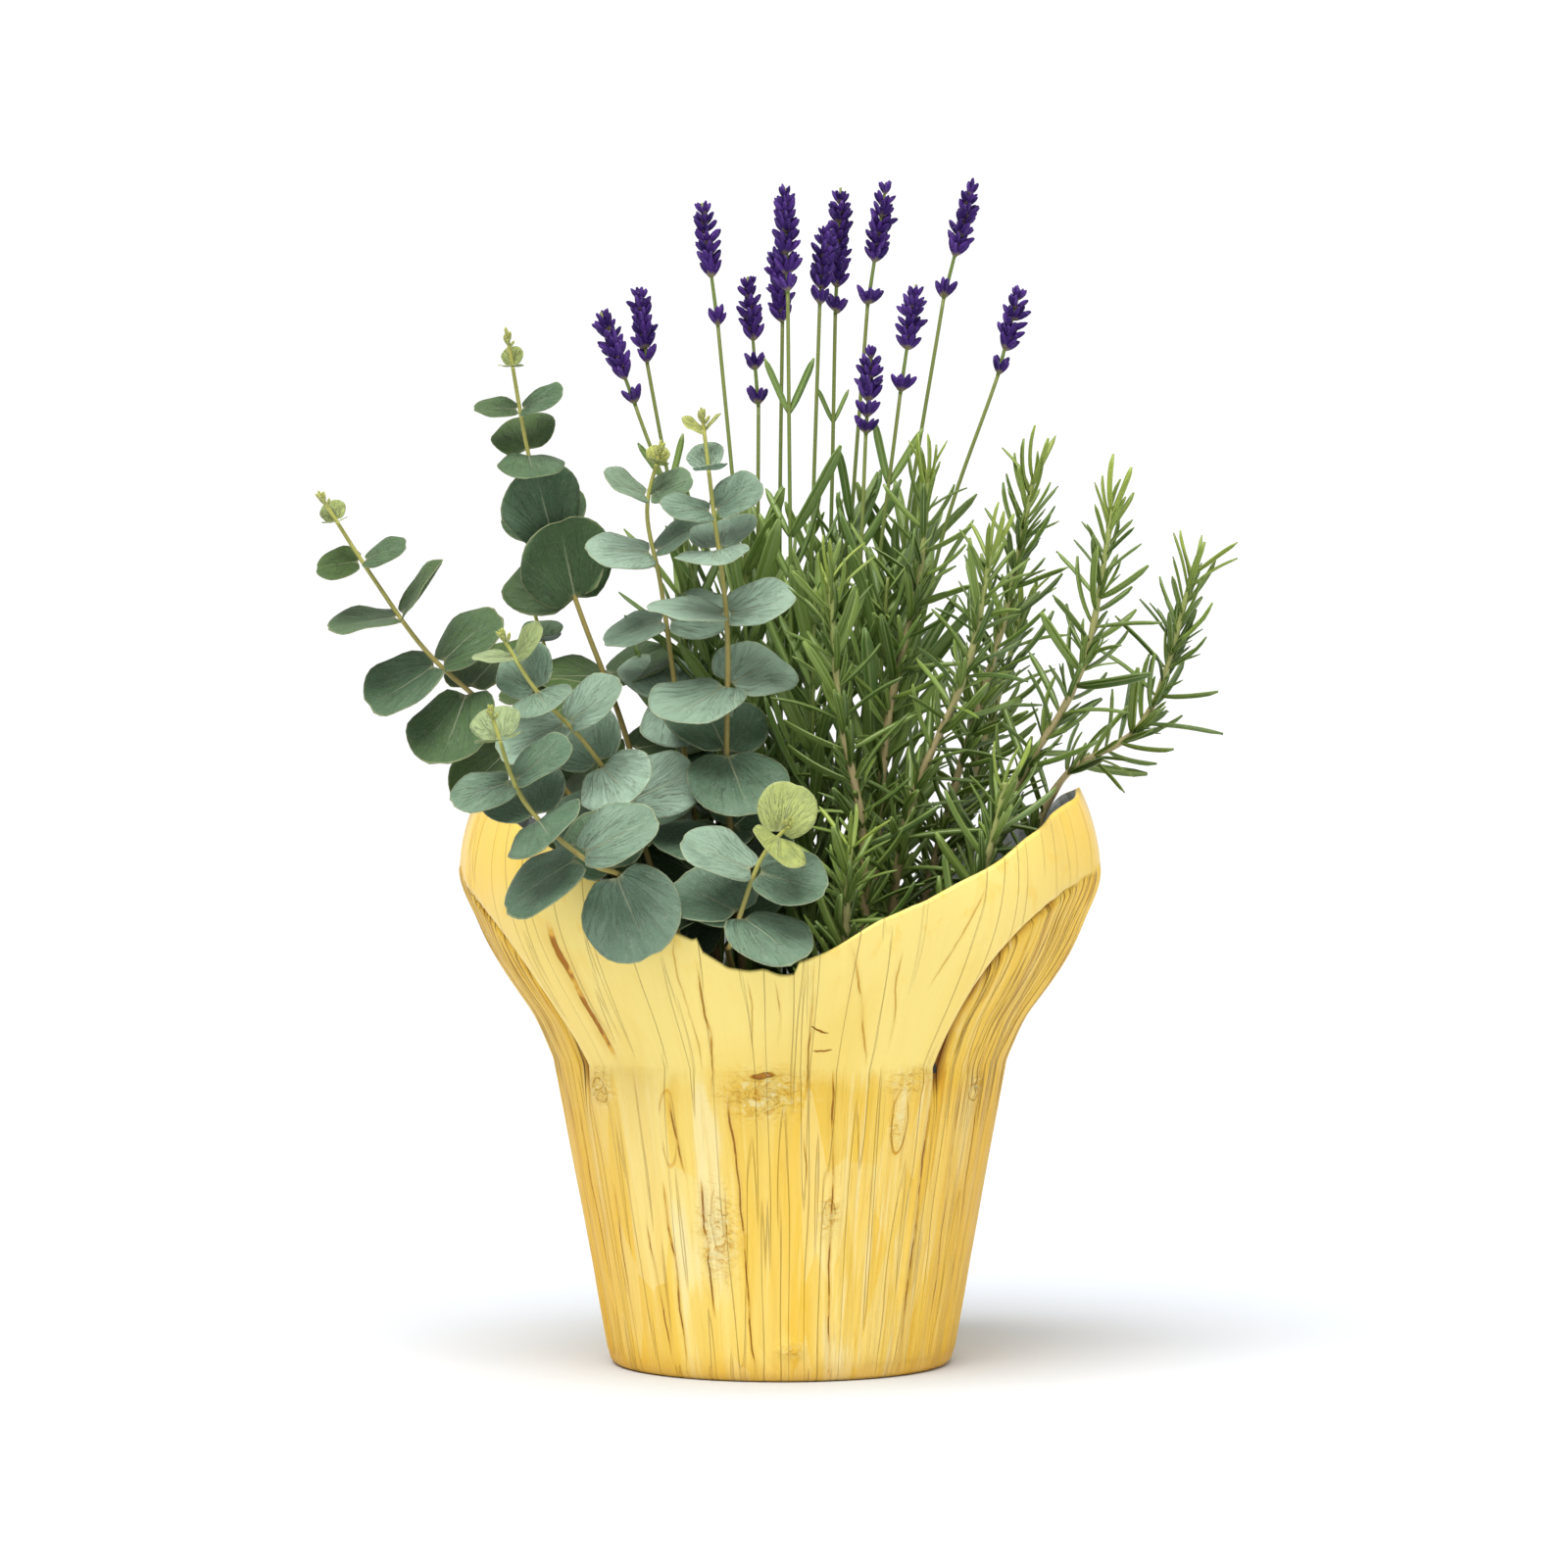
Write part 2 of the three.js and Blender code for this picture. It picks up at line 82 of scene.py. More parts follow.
def makeCamera():
    data = bpy.data.cameras.new("camera")
    data.lens = studio["lens"]
    data.sensor_width = 36
    camera = bpy.data.objects.new("camera", data)
    camera.location = (studio["sidestep"], -studio["distance"], studio["eyeShare"] * cadBox[1].z)
    camera.rotation_euler = (math.radians(90), 0, 0)
    bpy.context.scene.collection.objects.link(camera)
    bpy.context.scene.camera = camera


def addLamp(data, place, way):
    lamp = bpy.data.objects.new(data.name, data)
    lamp.location = place
    lamp.rotation_euler = Vector(way).to_track_quat("-Z", "Y").to_euler()
    bpy.context.scene.collection.objects.link(lamp)


def makeStudio():
    sky = bpy.data.worlds.new("studio_sky")
    sky.use_nodes = True
    away = addNode(sky.node_tree, "TexCoord", output="Generated")
    ahead = addNode(sky.node_tree, "SeparateXYZ", {}, {"Vector": away}, "Y")
    shell = sky.node_tree.nodes["Background"]
    shell.inputs["Color"].default_value = (1, 1, 1, 1)
    spread = studio["skyBehind"] - studio["skyAround"]
    join(sky.node_tree, ahead.between(0.55, 0.9) * spread + studio["skyAround"], shell.inputs["Strength"])
    bpy.context.scene.world = sky
    sun = bpy.data.lights.new("sun", "SUN")
    sun.energy = studio["sunPower"]
    sun.angle = math.radians(studio["sunSpread"])
    addLamp(sun, (0, 0, 0), studio["sunWay"])
    fill = bpy.data.lights.new("fill", "AREA")
    fill.shape = "DISK"
    fill.size = studio["fillSize"]
    fill.energy = studio["fillPower"]
    addLamp(fill, studio["fillPlace"], Vector((0, 0, cadBox[1].z / 2)) - Vector(studio["fillPlace"]))
    bm = bmesh.new()
    bmesh.ops.create_circle(bm, cap_ends=True, segments=64, radius=studio["floorReach"])
    floor = meshObject("floor", bm, [plainPaint("floor_paint", studio["floorColour"], 0.9)])


class Wire:  # a number socket that can be written in sums
    def __init__(self, tree, socket):
        self.tree = tree
        self.socket = socket

    def maths(self, operation, *others):
        return addNode(self.tree, "Math", {"operation": operation}, dict(enumerate((self, *others))))

    def __add__(self, other):
        return self.maths("ADD", other)

    __radd__ = __add__

    def __sub__(self, other):
        return self.maths("SUBTRACT", other)

    def __rsub__(self, other):
        return addNode(self.tree, "Math", {"operation": "SUBTRACT"}, {0: other, 1: self})

    def __mul__(self, other):
        return self.maths("MULTIPLY", other)

    __rmul__ = __mul__

    def __pow__(self, other):
        return self.maths("POWER", other)

    def between(self, low, high):  # 0 below low, 1 above high, smooth between
        sockets = {"Value": self, "From Min": low, "From Max": high}
        return addNode(self.tree, "MapRange", {"interpolation_type": "SMOOTHSTEP"}, sockets, "Result")


def join(tree, value, slot):
    if isinstance(value, Wire):
        tree.links.new(value.socket, slot)
    else:
        slot.default_value = value


def addNode(tree, kind, settings=None, sockets=None, output=0):
    node = tree.nodes.new("ShaderNode" + kind)
    for key, value in (settings or {}).items():
        setattr(node, key, value)
    for key, value in (sockets or {}).items():
        join(tree, value, node.inputs[key])
    return Wire(tree, node.outputs[output])


class Paint:  # one material and the nodes in it
    def __init__(self, name, **constants):
        self.material = bpy.data.materials.new(name)
        self.material.use_nodes = True
        self.tree = self.material.node_tree
        self.shader = self.tree.nodes["Principled BSDF"]
        for socket, value in constants.items():
            self.shader.inputs[socket].default_value = value

    def node(self, kind, settings=None, sockets=None, output=0):
        return addNode(self.tree, kind, settings, sockets, output)

    def feed(self, socket, value):
        join(self.tree, value, self.shader.inputs[socket])

    def vectors(self, operation, *values):
        return self.node("VectorMath", {"operation": operation}, dict(enumerate(values)))

    def place(self, stretch):  # object coordinates, stretched
        return self.vectors("MULTIPLY", self.node("TexCoord", output="Object"), stretch)

    def noise(self, vector, scale=1.0, detail=3.0, roughness=0.55, distortion=0.0):
        sockets = {"Vector": vector, "Scale": scale, "Detail": detail}
        sockets |= {"Roughness": roughness, "Distortion": distortion}
        return self.node("TexNoise", {}, sockets, "Fac")

    def cells(self, vector, feature, output, smoothness=0.0):
        sockets = {"Vector": vector, "Scale": 1.0}
        if smoothness:
            sockets["Smoothness"] = smoothness
        return self.node("TexVoronoi", {"feature": feature}, sockets, output)

    def mix(self, factor, one, other):
        return self.node("Mix", {"data_type": "RGBA"}, {0: factor, 6: one, 7: other}, 2)

    def stored(self, name):
        return self.node("Attribute", {"attribute_name": name}, {}, "Fac")

    def bump(self, height, distance):
        sockets = {"Height": height, "Distance": distance, "Strength": 1.0}
        self.feed("Normal", self.node("Bump", {}, sockets, "Normal"))


def plainPaint(name, colour, roughness):
    paint = Paint(name, Roughness=roughness)
    paint.shader.inputs["Base Color"].default_value = colour
    return paint.material


def meshObject(name, bm, materials):
    mesh = bpy.data.meshes.new(name)
    bm.to_mesh(mesh)
    bm.free()
    for material in materials:
        mesh.materials.append(material)
    piece = bpy.data.objects.new(name, mesh)
    bpy.context.scene.collection.objects.link(piece)
    return piece


def spin(bm, profile, steps):
    # a full turn round the upright axis
    chain = [bm.verts.new(place) for place in profile]
    for one, other in zip(chain, chain[1:]):
        bm.edges.new((one, other))
    turning = {"geom": bm.verts[:] + bm.edges[:], "cent": (0, 0, 0), "axis": (0, 0, 1), "dvec": (0, 0, 0)}
    bmesh.ops.spin(bm, angle=2 * math.pi, steps=steps, use_merge=True, **turning)


def nextRing(bm, edges):
    # the verts and the edges of a ring drawn out from these edges
    geom = bmesh.ops.extrude_edge_only(bm, edges=edges)["geom"]
    verts = [item for item in geom if isinstance(item, bmesh.types.BMVert)]
    return verts, [item for item in geom if isinstance(item, bmesh.types.BMEdge)]


def finished(piece, slot, *nodes):
    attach(piece, "root")
    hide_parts(*nodes)


def smoothStep(low, high, value):
    share = min(max((value - low) / (high - low), 0), 1)
    return share * share * (3 - 2 * share)


def grain(x, y, z):
    return noise.noise(Vector((x, y, z)))


# the wooden cover
coverSizes = {
    "foot": 0.0636,
    "footRound": 0.004,
    "neck": 0.0835,
    "neckHeight": 0.112,
    "peakRise": 0.1,
    "dipRise": 0.035,
    "dipRound": 0.1,
    "frontFlare": 0.032,
    "sideFlare": 0.0347,
    "flareRise": 0.07,
    "peakLean": 0.008,
    "wall": 0.0013,
    "around": 420,
    "floorRows": 6,
    "wallRows": 46,
    "skirtRows": 50,
    "foldStart": (59, 43),  # degrees from the front or back at the neck, on the -X and the +X side
    "foldTurn": (26, 31),  # and how much further round at the widest height
    "gussetDepth": 0.003,
    "foldDepth": 0.0042,
    "foldWidth": 1.6,  # degrees
}

coverLayers = ("gusset", "knot", "fibre", "crease", "run")

# where the rim is torn: azimuth in degrees, metres above the plain rim
rimTears = [
    (-180, 0), (-171, -0.002), (-168, 0.0015), (-160, -0.001), (-151, 0.001), (-150, -0.003), (-141, 0),
    (-60, 0), (-33, 0), (-26, -0.001), (-23.6, -0.0048), (-22, -0.0032), (-16, -0.002), (-15.2, 0),
    (-14.6, -0.0046), (-10.2, -0.0053), (-9, -0.0044), (-6, -0.0022), (-3.1, 0.0008), (0, -0.0004),
    (2.8, -0.0009), (3.4, 0.0028), (8, 0.0022), (18, 0.0024), (24, 0.0012), (26, 0.0002), (37, -0.0016),
    (60, 0), (142, 0), (151, 0.002), (152, -0.002), (163, -0.003), (164, 0.002), (172, 0.001), (180, 0),
]

# knots and crinkled patches: azimuth, height, half width and half height in metres, depth
knots = [
    (-4.6, 0.104, 0.0145, 0.0085, 1.0),
    (33, 0.108, 0.009, 0.005, 0.8),
    (-17.5, 0.054, 0.008, 0.017, 0.9),
    (13.4, 0.061, 0.004, 0.008, 0.8),
    (31, 0.092, 0.003, 0.010, 0.6),
    (-51.5, 0.104, 0.007, 0.006, 0.9),
    (3, 0.012, 0.005, 0.003, 0.9),
    (59, 0.105, 0.004, 0.003, 1.0),
    (175, 0.098, 0.014, 0.012, 0.9),
    (150, 0.05, 0.007, 0.014, 0.7),
    (-140, 0.07, 0.008, 0.012, 0.8),
    (112, 0.06, 0.006, 0.013, 0.7),
    (-100, 0.04, 0.007, 0.012, 0.6),
]


def rimHeight(azimuth):
    side = abs(math.sin(azimuth))
    rounding = coverSizes["dipRound"]
    climb = (math.hypot(side, rounding) - rounding) / (math.hypot(1, rounding) - rounding)
    low, high = coverSizes["dipRise"], coverSizes["peakRise"]
    return low + (high - low) * climb


def tear(azimuth):
    angle = math.degrees(azimuth)
    before = max(point for point in rimTears if point[0] <= angle)
    after = min(point for point in rimTears if point[0] >= angle)
    share = 0 if after[0] == before[0] else (angle - before[0]) / (after[0] - before[0])
    ragged = 0.0007 * grain(7 * math.cos(azimuth), 7 * math.sin(azimuth), 3.1)
    return before[1] + (after[1] - before[1]) * share + ragged


def skirtSpread(side, rise):
    flare = coverSizes["frontFlare"] + (coverSizes["sideFlare"] - coverSizes["frontFlare"]) * side * side
    climb = min(rise / coverSizes["flareRise"], 1)
    over = max(rise - coverSizes["flareRise"], 0) / (coverSizes["peakRise"] - coverSizes["flareRise"])
    return flare * math.sin(climb * math.pi / 2) ** 1.2 - coverSizes["peakLean"] * over * over


def pastFold(azimuth, rise):
    # degrees past the fold, towards the fibrous gusset at that side
    climb = min(max(rise, 0) / coverSizes["flareRise"], 1.2)
    start, turn = coverSizes["foldStart"][azimuth > 0], coverSizes["foldTurn"][azimuth > 0]
    side = math.degrees(math.asin(min(abs(math.sin(azimuth)), 1)))
    return side - (start + turn * climb**4)


def knotShare(azimuth, height, radius):
    total = 0
    for angle, level, wide, tall, depth in knots:
        turn = (azimuth - math.radians(angle) + math.pi) % (2 * math.pi) - math.pi
        across = turn * radius / wide
        up = (height - level) / tall
        total = max(total, depth * math.exp(-((across * across + up * up) ** 1.5)))
    return total


def coverPoint(azimuth, row):
    # the outer face at a row of the wrap: radius, height, then the five stored shares
    floorRows, wallRows, skirtRows = coverSizes["floorRows"], coverSizes["wallRows"], coverSizes["skirtRows"]
    foot, rounding = coverSizes["foot"], coverSizes["footRound"]
    neck, neckHeight = coverSizes["neck"], coverSizes["neckHeight"]
    side = min(abs(math.sin(azimuth)), 1)
    if row <= floorRows - 3:
        radius = (foot - rounding) * row / (floorRows - 3)
        return radius, 0, 0, 0, 0, 0, radius - foot
    if row <= floorRows:
        turn = (row - floorRows + 3) / 3 * math.pi / 2
        return foot - rounding + rounding * math.sin(turn), rounding * (1 - math.cos(turn)), 0, 0, 0.3, 0, 0
    if row <= floorRows + wallRows:
        share = (row - floorRows) / wallRows
        height = rounding + (neckHeight - rounding) * share
        radius = foot + (neck - foot) * share
        rise = height - neckHeight
        gusset = smoothStep(-1.2, 1.2, pastFold(azimuth, 0)) * smoothStep(-0.03, 0, rise)
        run = height
    else:
        share = (row - floorRows - wallRows) / skirtRows
        rise = share * (rimHeight(azimuth) + tear(azimuth))
        height = neckHeight + rise
        radius = neck + skirtSpread(side, rise)
        gusset = smoothStep(-1.2, 1.2, pastFold(azimuth, rise))
        run = neckHeight + 1.15 * rise
    knot = knotShare(azimuth, height, radius)
    wall = 1 - smoothStep(-0.004, 0.004, rise)
    angle = math.degrees(azimuth)
    streaky = 0.35 + 0.55 * smoothStep(4, 24, angle) * (1 - smoothStep(140, 170, angle))
    streaky = max(streaky, 0.85 * smoothStep(52, 70, abs(angle)) * (1 - smoothStep(120, 140, abs(angle))))
    fibre = max(gusset, wall * streaky, 0.08)
    x, y = 100 * math.cos(azimuth), 100 * math.sin(azimuth)
    ridges = 0.0009 * grain(x / 9, y / 9, height * 7) + 0.0004 * grain(x / 3, y / 3, height * 16)
    fine = 0.00025 * grain(x / 1.3, y / 1.3, height * 24)
    folds = 0.0022 * grain(x / 19, y / 19, height * 10) * smoothStep(0, 0.04, rise)
    crinkle = 0.0012 * knot * grain(x / 2, y / 2, height * 420)
    bumpOut = 0.0012 * knot * math.sin(min(knot, 1) * math.pi)
    step = coverSizes["gussetDepth"] * gusset * smoothStep(0, 0.02, rise) * (1 - smoothStep(0.05, 0.07, rise))
    climb = rise / coverSizes["flareRise"]
    crease = math.exp(-((pastFold(azimuth, rise) / coverSizes["foldWidth"]) ** 2))
    crease *= smoothStep(-0.25, 0.05, climb) * (1 - smoothStep(0.8, 1, climb))
    groove = coverSizes["foldDepth"] * crease
    ledge = 0.0004 * math.exp(-((rise / 0.002) ** 2)) * (1 - gusset)
    radius += (ridges + fine) * (0.25 + 0.75 * fibre) + folds + crinkle + bumpOut - step - groove - ledge
    return radius, height, gusset, knot, fibre, crease, run


def makeCover():
    rows = coverSizes["floorRows"] + coverSizes["wallRows"] + coverSizes["skirtRows"]
    bm = bmesh.new()
    layers = [bm.verts.layers.float.new(name) for name in coverLayers]
    spin(bm, [(0, -1, row) for row in range(rows + 1)], coverSizes["around"])
    for vert in bm.verts:
        azimuth = math.atan2(vert.co.x, -vert.co.y)
        radius, height, *shares = coverPoint(azimuth, round(vert.co.z))
        vert.co = (radius * math.sin(azimuth), -radius * math.cos(azimuth), height)
        for layer, value in zip(layers, shares):
            vert[layer] = value
    bmesh.ops.remove_doubles(bm, verts=bm.verts, dist=1e-6)
    bmesh.ops.recalc_face_normals(bm, faces=bm.faces)
    for face in bm.faces:
        face.smooth = True
    piece = meshObject("cover_wrap", bm, [coverWood(), coverLining()])
    wall = piece.modifiers.new("wall", "SOLIDIFY")
    wall.thickness = coverSizes["wall"]
    wall.offset = -1
    wall.material_offset = 1
    wall.use_rim = True
    wall.material_offset_rim = 0
    finished(piece, "cover_wood", "pot_cover")


# cracks down the wood: azimuth in degrees at the top, lean, top and foot heights, width in metres, darkness
cracks = [
    (-46.4, 3.0, 0.168, 0.112, 0.0019, 1.0), (-20, 0.0, 0.162, 0.110, 0.0003, 0.35),
    (-16.5, -1.0, 0.15, 0.103, 0.0005, 0.6), (-7, 0.0, 0.146, 0.115, 0.0003, 0.4),
    (-1.5, 0.5, 0.146, 0.12, 0.0003, 0.4), (6, 1.0, 0.144, 0.101, 0.0005, 0.6),
    (12, 9.0, 0.158, 0.113, 0.0005, 0.55), (23, 2.0, 0.157, 0.117, 0.0004, 0.4),
    (39, -8.0, 0.178, 0.14, 0.0004, 0.4), (-29, 3.0, 0.103, 0.073, 0.0007, 0.9),
    (-32, 0.0, 0.072, 0.005, 0.0006, 0.9), (-22, 0.5, 0.074, 0.022, 0.0007, 1.0),
    (-13, 4.5, 0.103, 0.0, 0.0006, 0.9), (6.5, 1.0, 0.09, 0.07, 0.0004, 0.7),
    (13, 2.5, 0.113, 0.0, 0.0006, 0.9), (40, 2.0, 0.1, 0.0, 0.0008, 1.0),
    (-52, -1.0, 0.07, 0.028, 0.0006, 0.8), (-40, 3.0, 0.058, 0.006, 0.0006, 0.8),
    (52, 3.0, 0.108, 0.02, 0.0006, 0.7), (62, 2.0, 0.1, 0.03, 0.0006, 0.7),
    (-66, 1.0, 0.1, 0.03, 0.0006, 0.7), (95, 2.0, 0.12, 0.0, 0.0007, 0.8),
    (-104, -2.0, 0.11, 0.01, 0.0007, 0.8), (140, 3.0, 0.16, 0.1, 0.0005, 0.7),
    (158, -2.0, 0.105, 0.01, 0.0007, 0.9), (172, 2.0, 0.15, 0.06, 0.0005, 0.7),
    (-165, 2.0, 0.1, 0.0, 0.0006, 0.9), (-146, -3.0, 0.165, 0.112, 0.0008, 0.9),
    (-128, 3.0, 0.1, 0.0, 0.0006, 0.8), (124, -2.0, 0.09, 0.02, 0.0006, 0.8),
]

# closed loops in the grain: azimuth, height, half width and half height in metres, darkness
loops = [
    (31, 0.092, 0.0032, 0.011, 0.6), (-29.6, 0.093, 0.003, 0.013, 0.35), (13.4, 0.061, 0.0026, 0.0055, 0.45),
    (-52, 0.104, 0.0042, 0.004, 0.45), (-17.5, 0.058, 0.003, 0.012, 0.3), (59, 0.105, 0.0036, 0.003, 0.5),
    (150, 0.05, 0.004, 0.012, 0.6), (-140, 0.07, 0.004, 0.012, 0.6), (112, 0.06, 0.004, 0.012, 0.5),
]
# short dark slits: azimuth, height, half width and half height in metres
slits = [
    (-4, 0.1122, 0.0044, 0.0011), (176, 0.111, 0.005, 0.001),
    (8.5, 0.1275, 0.0035, 0.0004), (10, 0.121, 0.003, 0.0004),
]
markRadius = 0.078  # of the wall where the marks' widths are measured, metres


def coverMarks(swayed, height, sway, shake):
    # how deep each place is in a crack, a loop or a slit, and how near it is to a crack
    ragged = shake.between(0.38, 0.55) * 0.8 + 0.2
    crack = halo = height * 0.0  # nothing yet
    for turn, lean, high, low, width, depth in cracks:
        slope = lean / (high - low)
        away = (swayed - (height * -slope + (turn + slope * high))).maths("ABSOLUTE")
        degrees = math.degrees(width / 0.1)
        span = height.between(low - 0.002, low + 0.012) * (1 - height.between(high - 0.01, high + 0.002))
        crack = crack.maths("MAXIMUM", (1 - away.between(degrees * 0.3, degrees * 0.85)) * span * depth)
        halo = halo.maths("MAXIMUM", (1 - away.between(0.0, degrees * 4)) * span * depth)
    crack = crack * ragged
    for turn, level, wide, tall, *depth in loops + slits:
        across = (swayed - turn) * (math.radians(markRadius) / wide)
        upward = (height + (sway - 0.5) * 0.02 + (shake - 0.5) * 0.006 - level) * (1 / tall)
        away = (across * across + upward * upward) ** 0.5
        if depth:
            outline = 1 - (away - 1).maths("ABSOLUTE").between(0.0, 0.10)
            crack = crack.maths("MAXIMUM", outline * depth[0] * ragged)
        else:
            crack = crack.maths("MAXIMUM", 1 - away.between(0.6, 1.1))
    return crack, halo


def coverWood():
    paint = Paint("stained_wood")
    paint.shader.inputs["Coat Roughness"].default_value = 0.2
    paint.shader.inputs["Specular IOR Level"].default_value = 0.25
    gusset, knot, fibre, crease, run = (paint.stored(name) for name in coverLayers)
    spot = paint.node("TexCoord", output="Object")
    parts = paint.node("SeparateXYZ", {}, {"Vector": spot}, "X")
    height = Wire(paint.tree, parts.socket.node.outputs["Z"])
    front = Wire(paint.tree, parts.socket.node.outputs["Y"])
    azimuth = parts.maths("ARCTAN2", front * -1.0) * (180 / math.pi)
    level = paint.vectors("NORMALIZE", paint.place((1, 1, 0)))
    upward = paint.node("CombineXYZ", {}, {"Z": run})
    wrap = paint.vectors("MULTIPLY_ADD", level, (0.08, 0.08, 0.08), upward)

    def grainNoise(across, along, **settings):
        return paint.noise(paint.vectors("MULTIPLY", wrap, (across, across, along)), **settings)

    sway = grainNoise(26, 17, detail=2)
    shake = grainNoise(90, 60, detail=3)
    swayed = azimuth + (sway - 0.5) * 6.0 + (shake - 0.5) * 1.8
    streak = grainNoise(150, 5, detail=4, distortion=0.25)
    broad = grainNoise(50, 6, detail=3, distortion=0.3)
    fine = grainNoise(480, 20, detail=4, roughness=0.65, distortion=0.6)
    flake = paint.cells(paint.vectors("MULTIPLY", wrap, (105, 105, 24)), "SMOOTH_F1", "Color", 0.15)
    flake = paint.node("SeparateColor", {}, {"Color": flake}, "Red")
    hair = grainNoise(1300, 18, detail=2)
    cloud = grainNoise(24, 12, detail=3, distortion=0.8)
    crinkle = grainNoise(240, 420, detail=4, roughness=0.6, distortion=1.5)
    lines = 1 - (grainNoise(120, 4.5, detail=2, distortion=0.2) - 0.5).maths("ABSOLUTE").between(0.0, 0.010)
    fissures = 1 - (grainNoise(300, 6, detail=2, distortion=0.3) - 0.5).maths("ABSOLUTE").between(0.0, 0.03)
    crack, halo = coverMarks(swayed, height, sway, shake)
    body = 1 - (height + (shake - 0.5) * 0.02).between(0.104, 0.115)
    pale = (0.99, 0.78, 0.23, 1)
    gold = (0.90, 0.57, 0.055, 1)
    amber = (0.68, 0.33, 0.010, 1)
    brown = (0.40, 0.14, 0.002, 1)
    cream = (0.98, 0.84, 0.42, 1)
    deepened = body * 0.3 + broad.between(0.42, 0.62) * body * 0.6 + cloud.between(0.5, 0.75) * 0.35
    colour = paint.mix(deepened, pale, gold)
    # the left and right sides of the pot as seen from the front, which are less lit and get painted shade
    shadedSides = azimuth.maths("ABSOLUTE").between(35, 75) * (1 - azimuth.maths("ABSOLUTE").between(105, 145))
    colour = paint.mix(flake.between(0.55, 0.6) * body * 0.45, colour, (0.88, 0.60, 0.10, 1))
    colour = paint.mix(flake.between(0.3, 0.25) * (body * 0.4 + 0.05), colour, (0.97, 0.80, 0.31, 1))
    # painted shade: the sides are mixed to a deeper gold
    colour = paint.mix(shadedSides * (body * 0.35 + 0.4), colour, (0.90, 0.52, 0.03, 1))
    colour = paint.mix(gusset * 0.75, colour, (0.95, 0.58, 0.04, 1))
    # painted shade: the right side of the body, away from the light, is mixed to a deeper amber gold
    rightShade = azimuth.between(8, 40) * (1 - azimuth.between(120, 150))
    colour = paint.mix(body * rightShade * 0.3, colour, (0.93, 0.55, 0.03, 1))
    # painted shade: the upper flare at the sides is mixed to a deeper gold
    colour = paint.mix((height - 0.112).between(0.05, 0.1) * shadedSides * 0.45, colour, gold)
    streaked = streak.between(0.54, 0.70) * (fibre * 0.5 + 0.08) * (cloud.between(0.35, 0.6) * 0.7 + 0.3)
    colour = paint.mix(streaked, colour, amber)
    # painted highlight: pale cream patches on the middle of the body, kept off the sides
    colour = paint.mix(broad.between(0.44, 0.38) * body * (1 - shadedSides) * 0.65, colour, cream)
    colour = paint.mix(fine.between(0.54, 0.68) * fibre * (gusset * 0.4 + 0.5), colour, amber)
    colour = paint.mix(fine.between(0.46, 0.32) * fibre * (1 - shadedSides * 0.6) * 0.6, colour, cream)
    colour = paint.mix(lines * (body * 0.22 + gusset * 0.35 + 0.03), colour, amber)
    colour = paint.mix(fissures * gusset * 0.6, colour, brown)
    colour = paint.mix(fissures * body * shadedSides * 0.5, colour, amber)
    colour = paint.mix(hair.between(0.56, 0.68) * gusset * 0.4, colour, brown)
    colour = paint.mix((1 - height.between(0.0, 0.012)) * 0.5, colour, amber)
    swirl = grainNoise(60, 34, detail=3, distortion=2.5)
    swirled = swirl.between(0.52, 0.66) * (1 - body) * (1 - gusset) * height.between(0.13, 0.17)
    colour = paint.mix(swirled * 0.4, colour, (0.95, 0.60, 0.07, 1))
    colour = paint.mix(halo * 0.25, colour, amber)
    colour = paint.mix(crack.between(0.0, 0.5) * 0.8, colour, (0.80, 0.38, 0.008, 1))
    colour = paint.mix(crack.between(0.4, 0.85) * 0.85, colour, (0.36, 0.11, 0.001, 1))
    # painted shadow: a dark brown line along each crease, where the valley of the fold lies in shade
    fold = crease.between(0.1, 0.75) * (1 - height.between(0.15, 0.2) * 0.4)
    colour = paint.mix(fold * (fine.between(0.35, 0.6) * 0.35 + 0.65), colour, (0.27, 0.08, 0.001, 1))
    colour = paint.mix(knot * crinkle.between(0.53, 0.62) * 0.8, colour, amber)
    colour = paint.mix(knot * crinkle.between(0.6, 0.7) * 0.3, colour, brown)
    colour = paint.mix(knot * crinkle.between(0.46, 0.38) * 0.7, colour, cream)
    paint.feed("Base Color", colour)
    shine = cloud.between(0.62, 0.4) * 0.14 + 0.34
    paint.feed("Roughness", shine + fibre * 0.12 + crack * 0.2)
    paint.feed("Coat Weight", streak.between(0.55, 0.4) * (1 - shadedSides) * 0.3 * body + 0.03)
    relief = fine * fibre * 0.9 + hair * fibre * 0.35 + crinkle * knot * 1.5 - crack * 0.9 - halo * 0.3
    paint.bump(relief + streak * (body * 0.9 + gusset * 0.9) - lines * 0.4 - fissures * gusset, 0.0011)
    return paint.material


def coverLining():
    paint = Paint("grey_lining", Roughness=0.42)
    crumple = paint.cells(paint.place((90, 90, 90)), "F1", "Distance")
    cloud = paint.noise(paint.place((60, 60, 60)), detail=4, distortion=1.2)
    paint.feed("Base Color", paint.mix(cloud, (0.24, 0.25, 0.25, 1), (0.62, 0.63, 0.63, 1)))
    paint.bump(crumple + cloud, 0.0016)
    return paint.material


# the planting: stems and what grows on them
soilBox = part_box("soil")
planting = {
    "datum": soilBox[1].z - 0.0018,  # the routes' heights start here
    "sideShift": 0.0015,
    "rimClearance": 0.005,
    "clearAbove": 0.004,  # narrow leaves keep this far off the cover's wall
    "clearInside": 0.0035,
    "clearOutside": 0.0022,
    "rootReach": 0.014,  # a stem stands upright this far under and over the soil's top
    "stemStart": 0.05,  # share of the route where the stem begins
    "light": Vector((0, -0.9, 0.45)),  # where the leaf blades turn to
}
leafLayers = ("across", "along", "edge", "tint", "young")


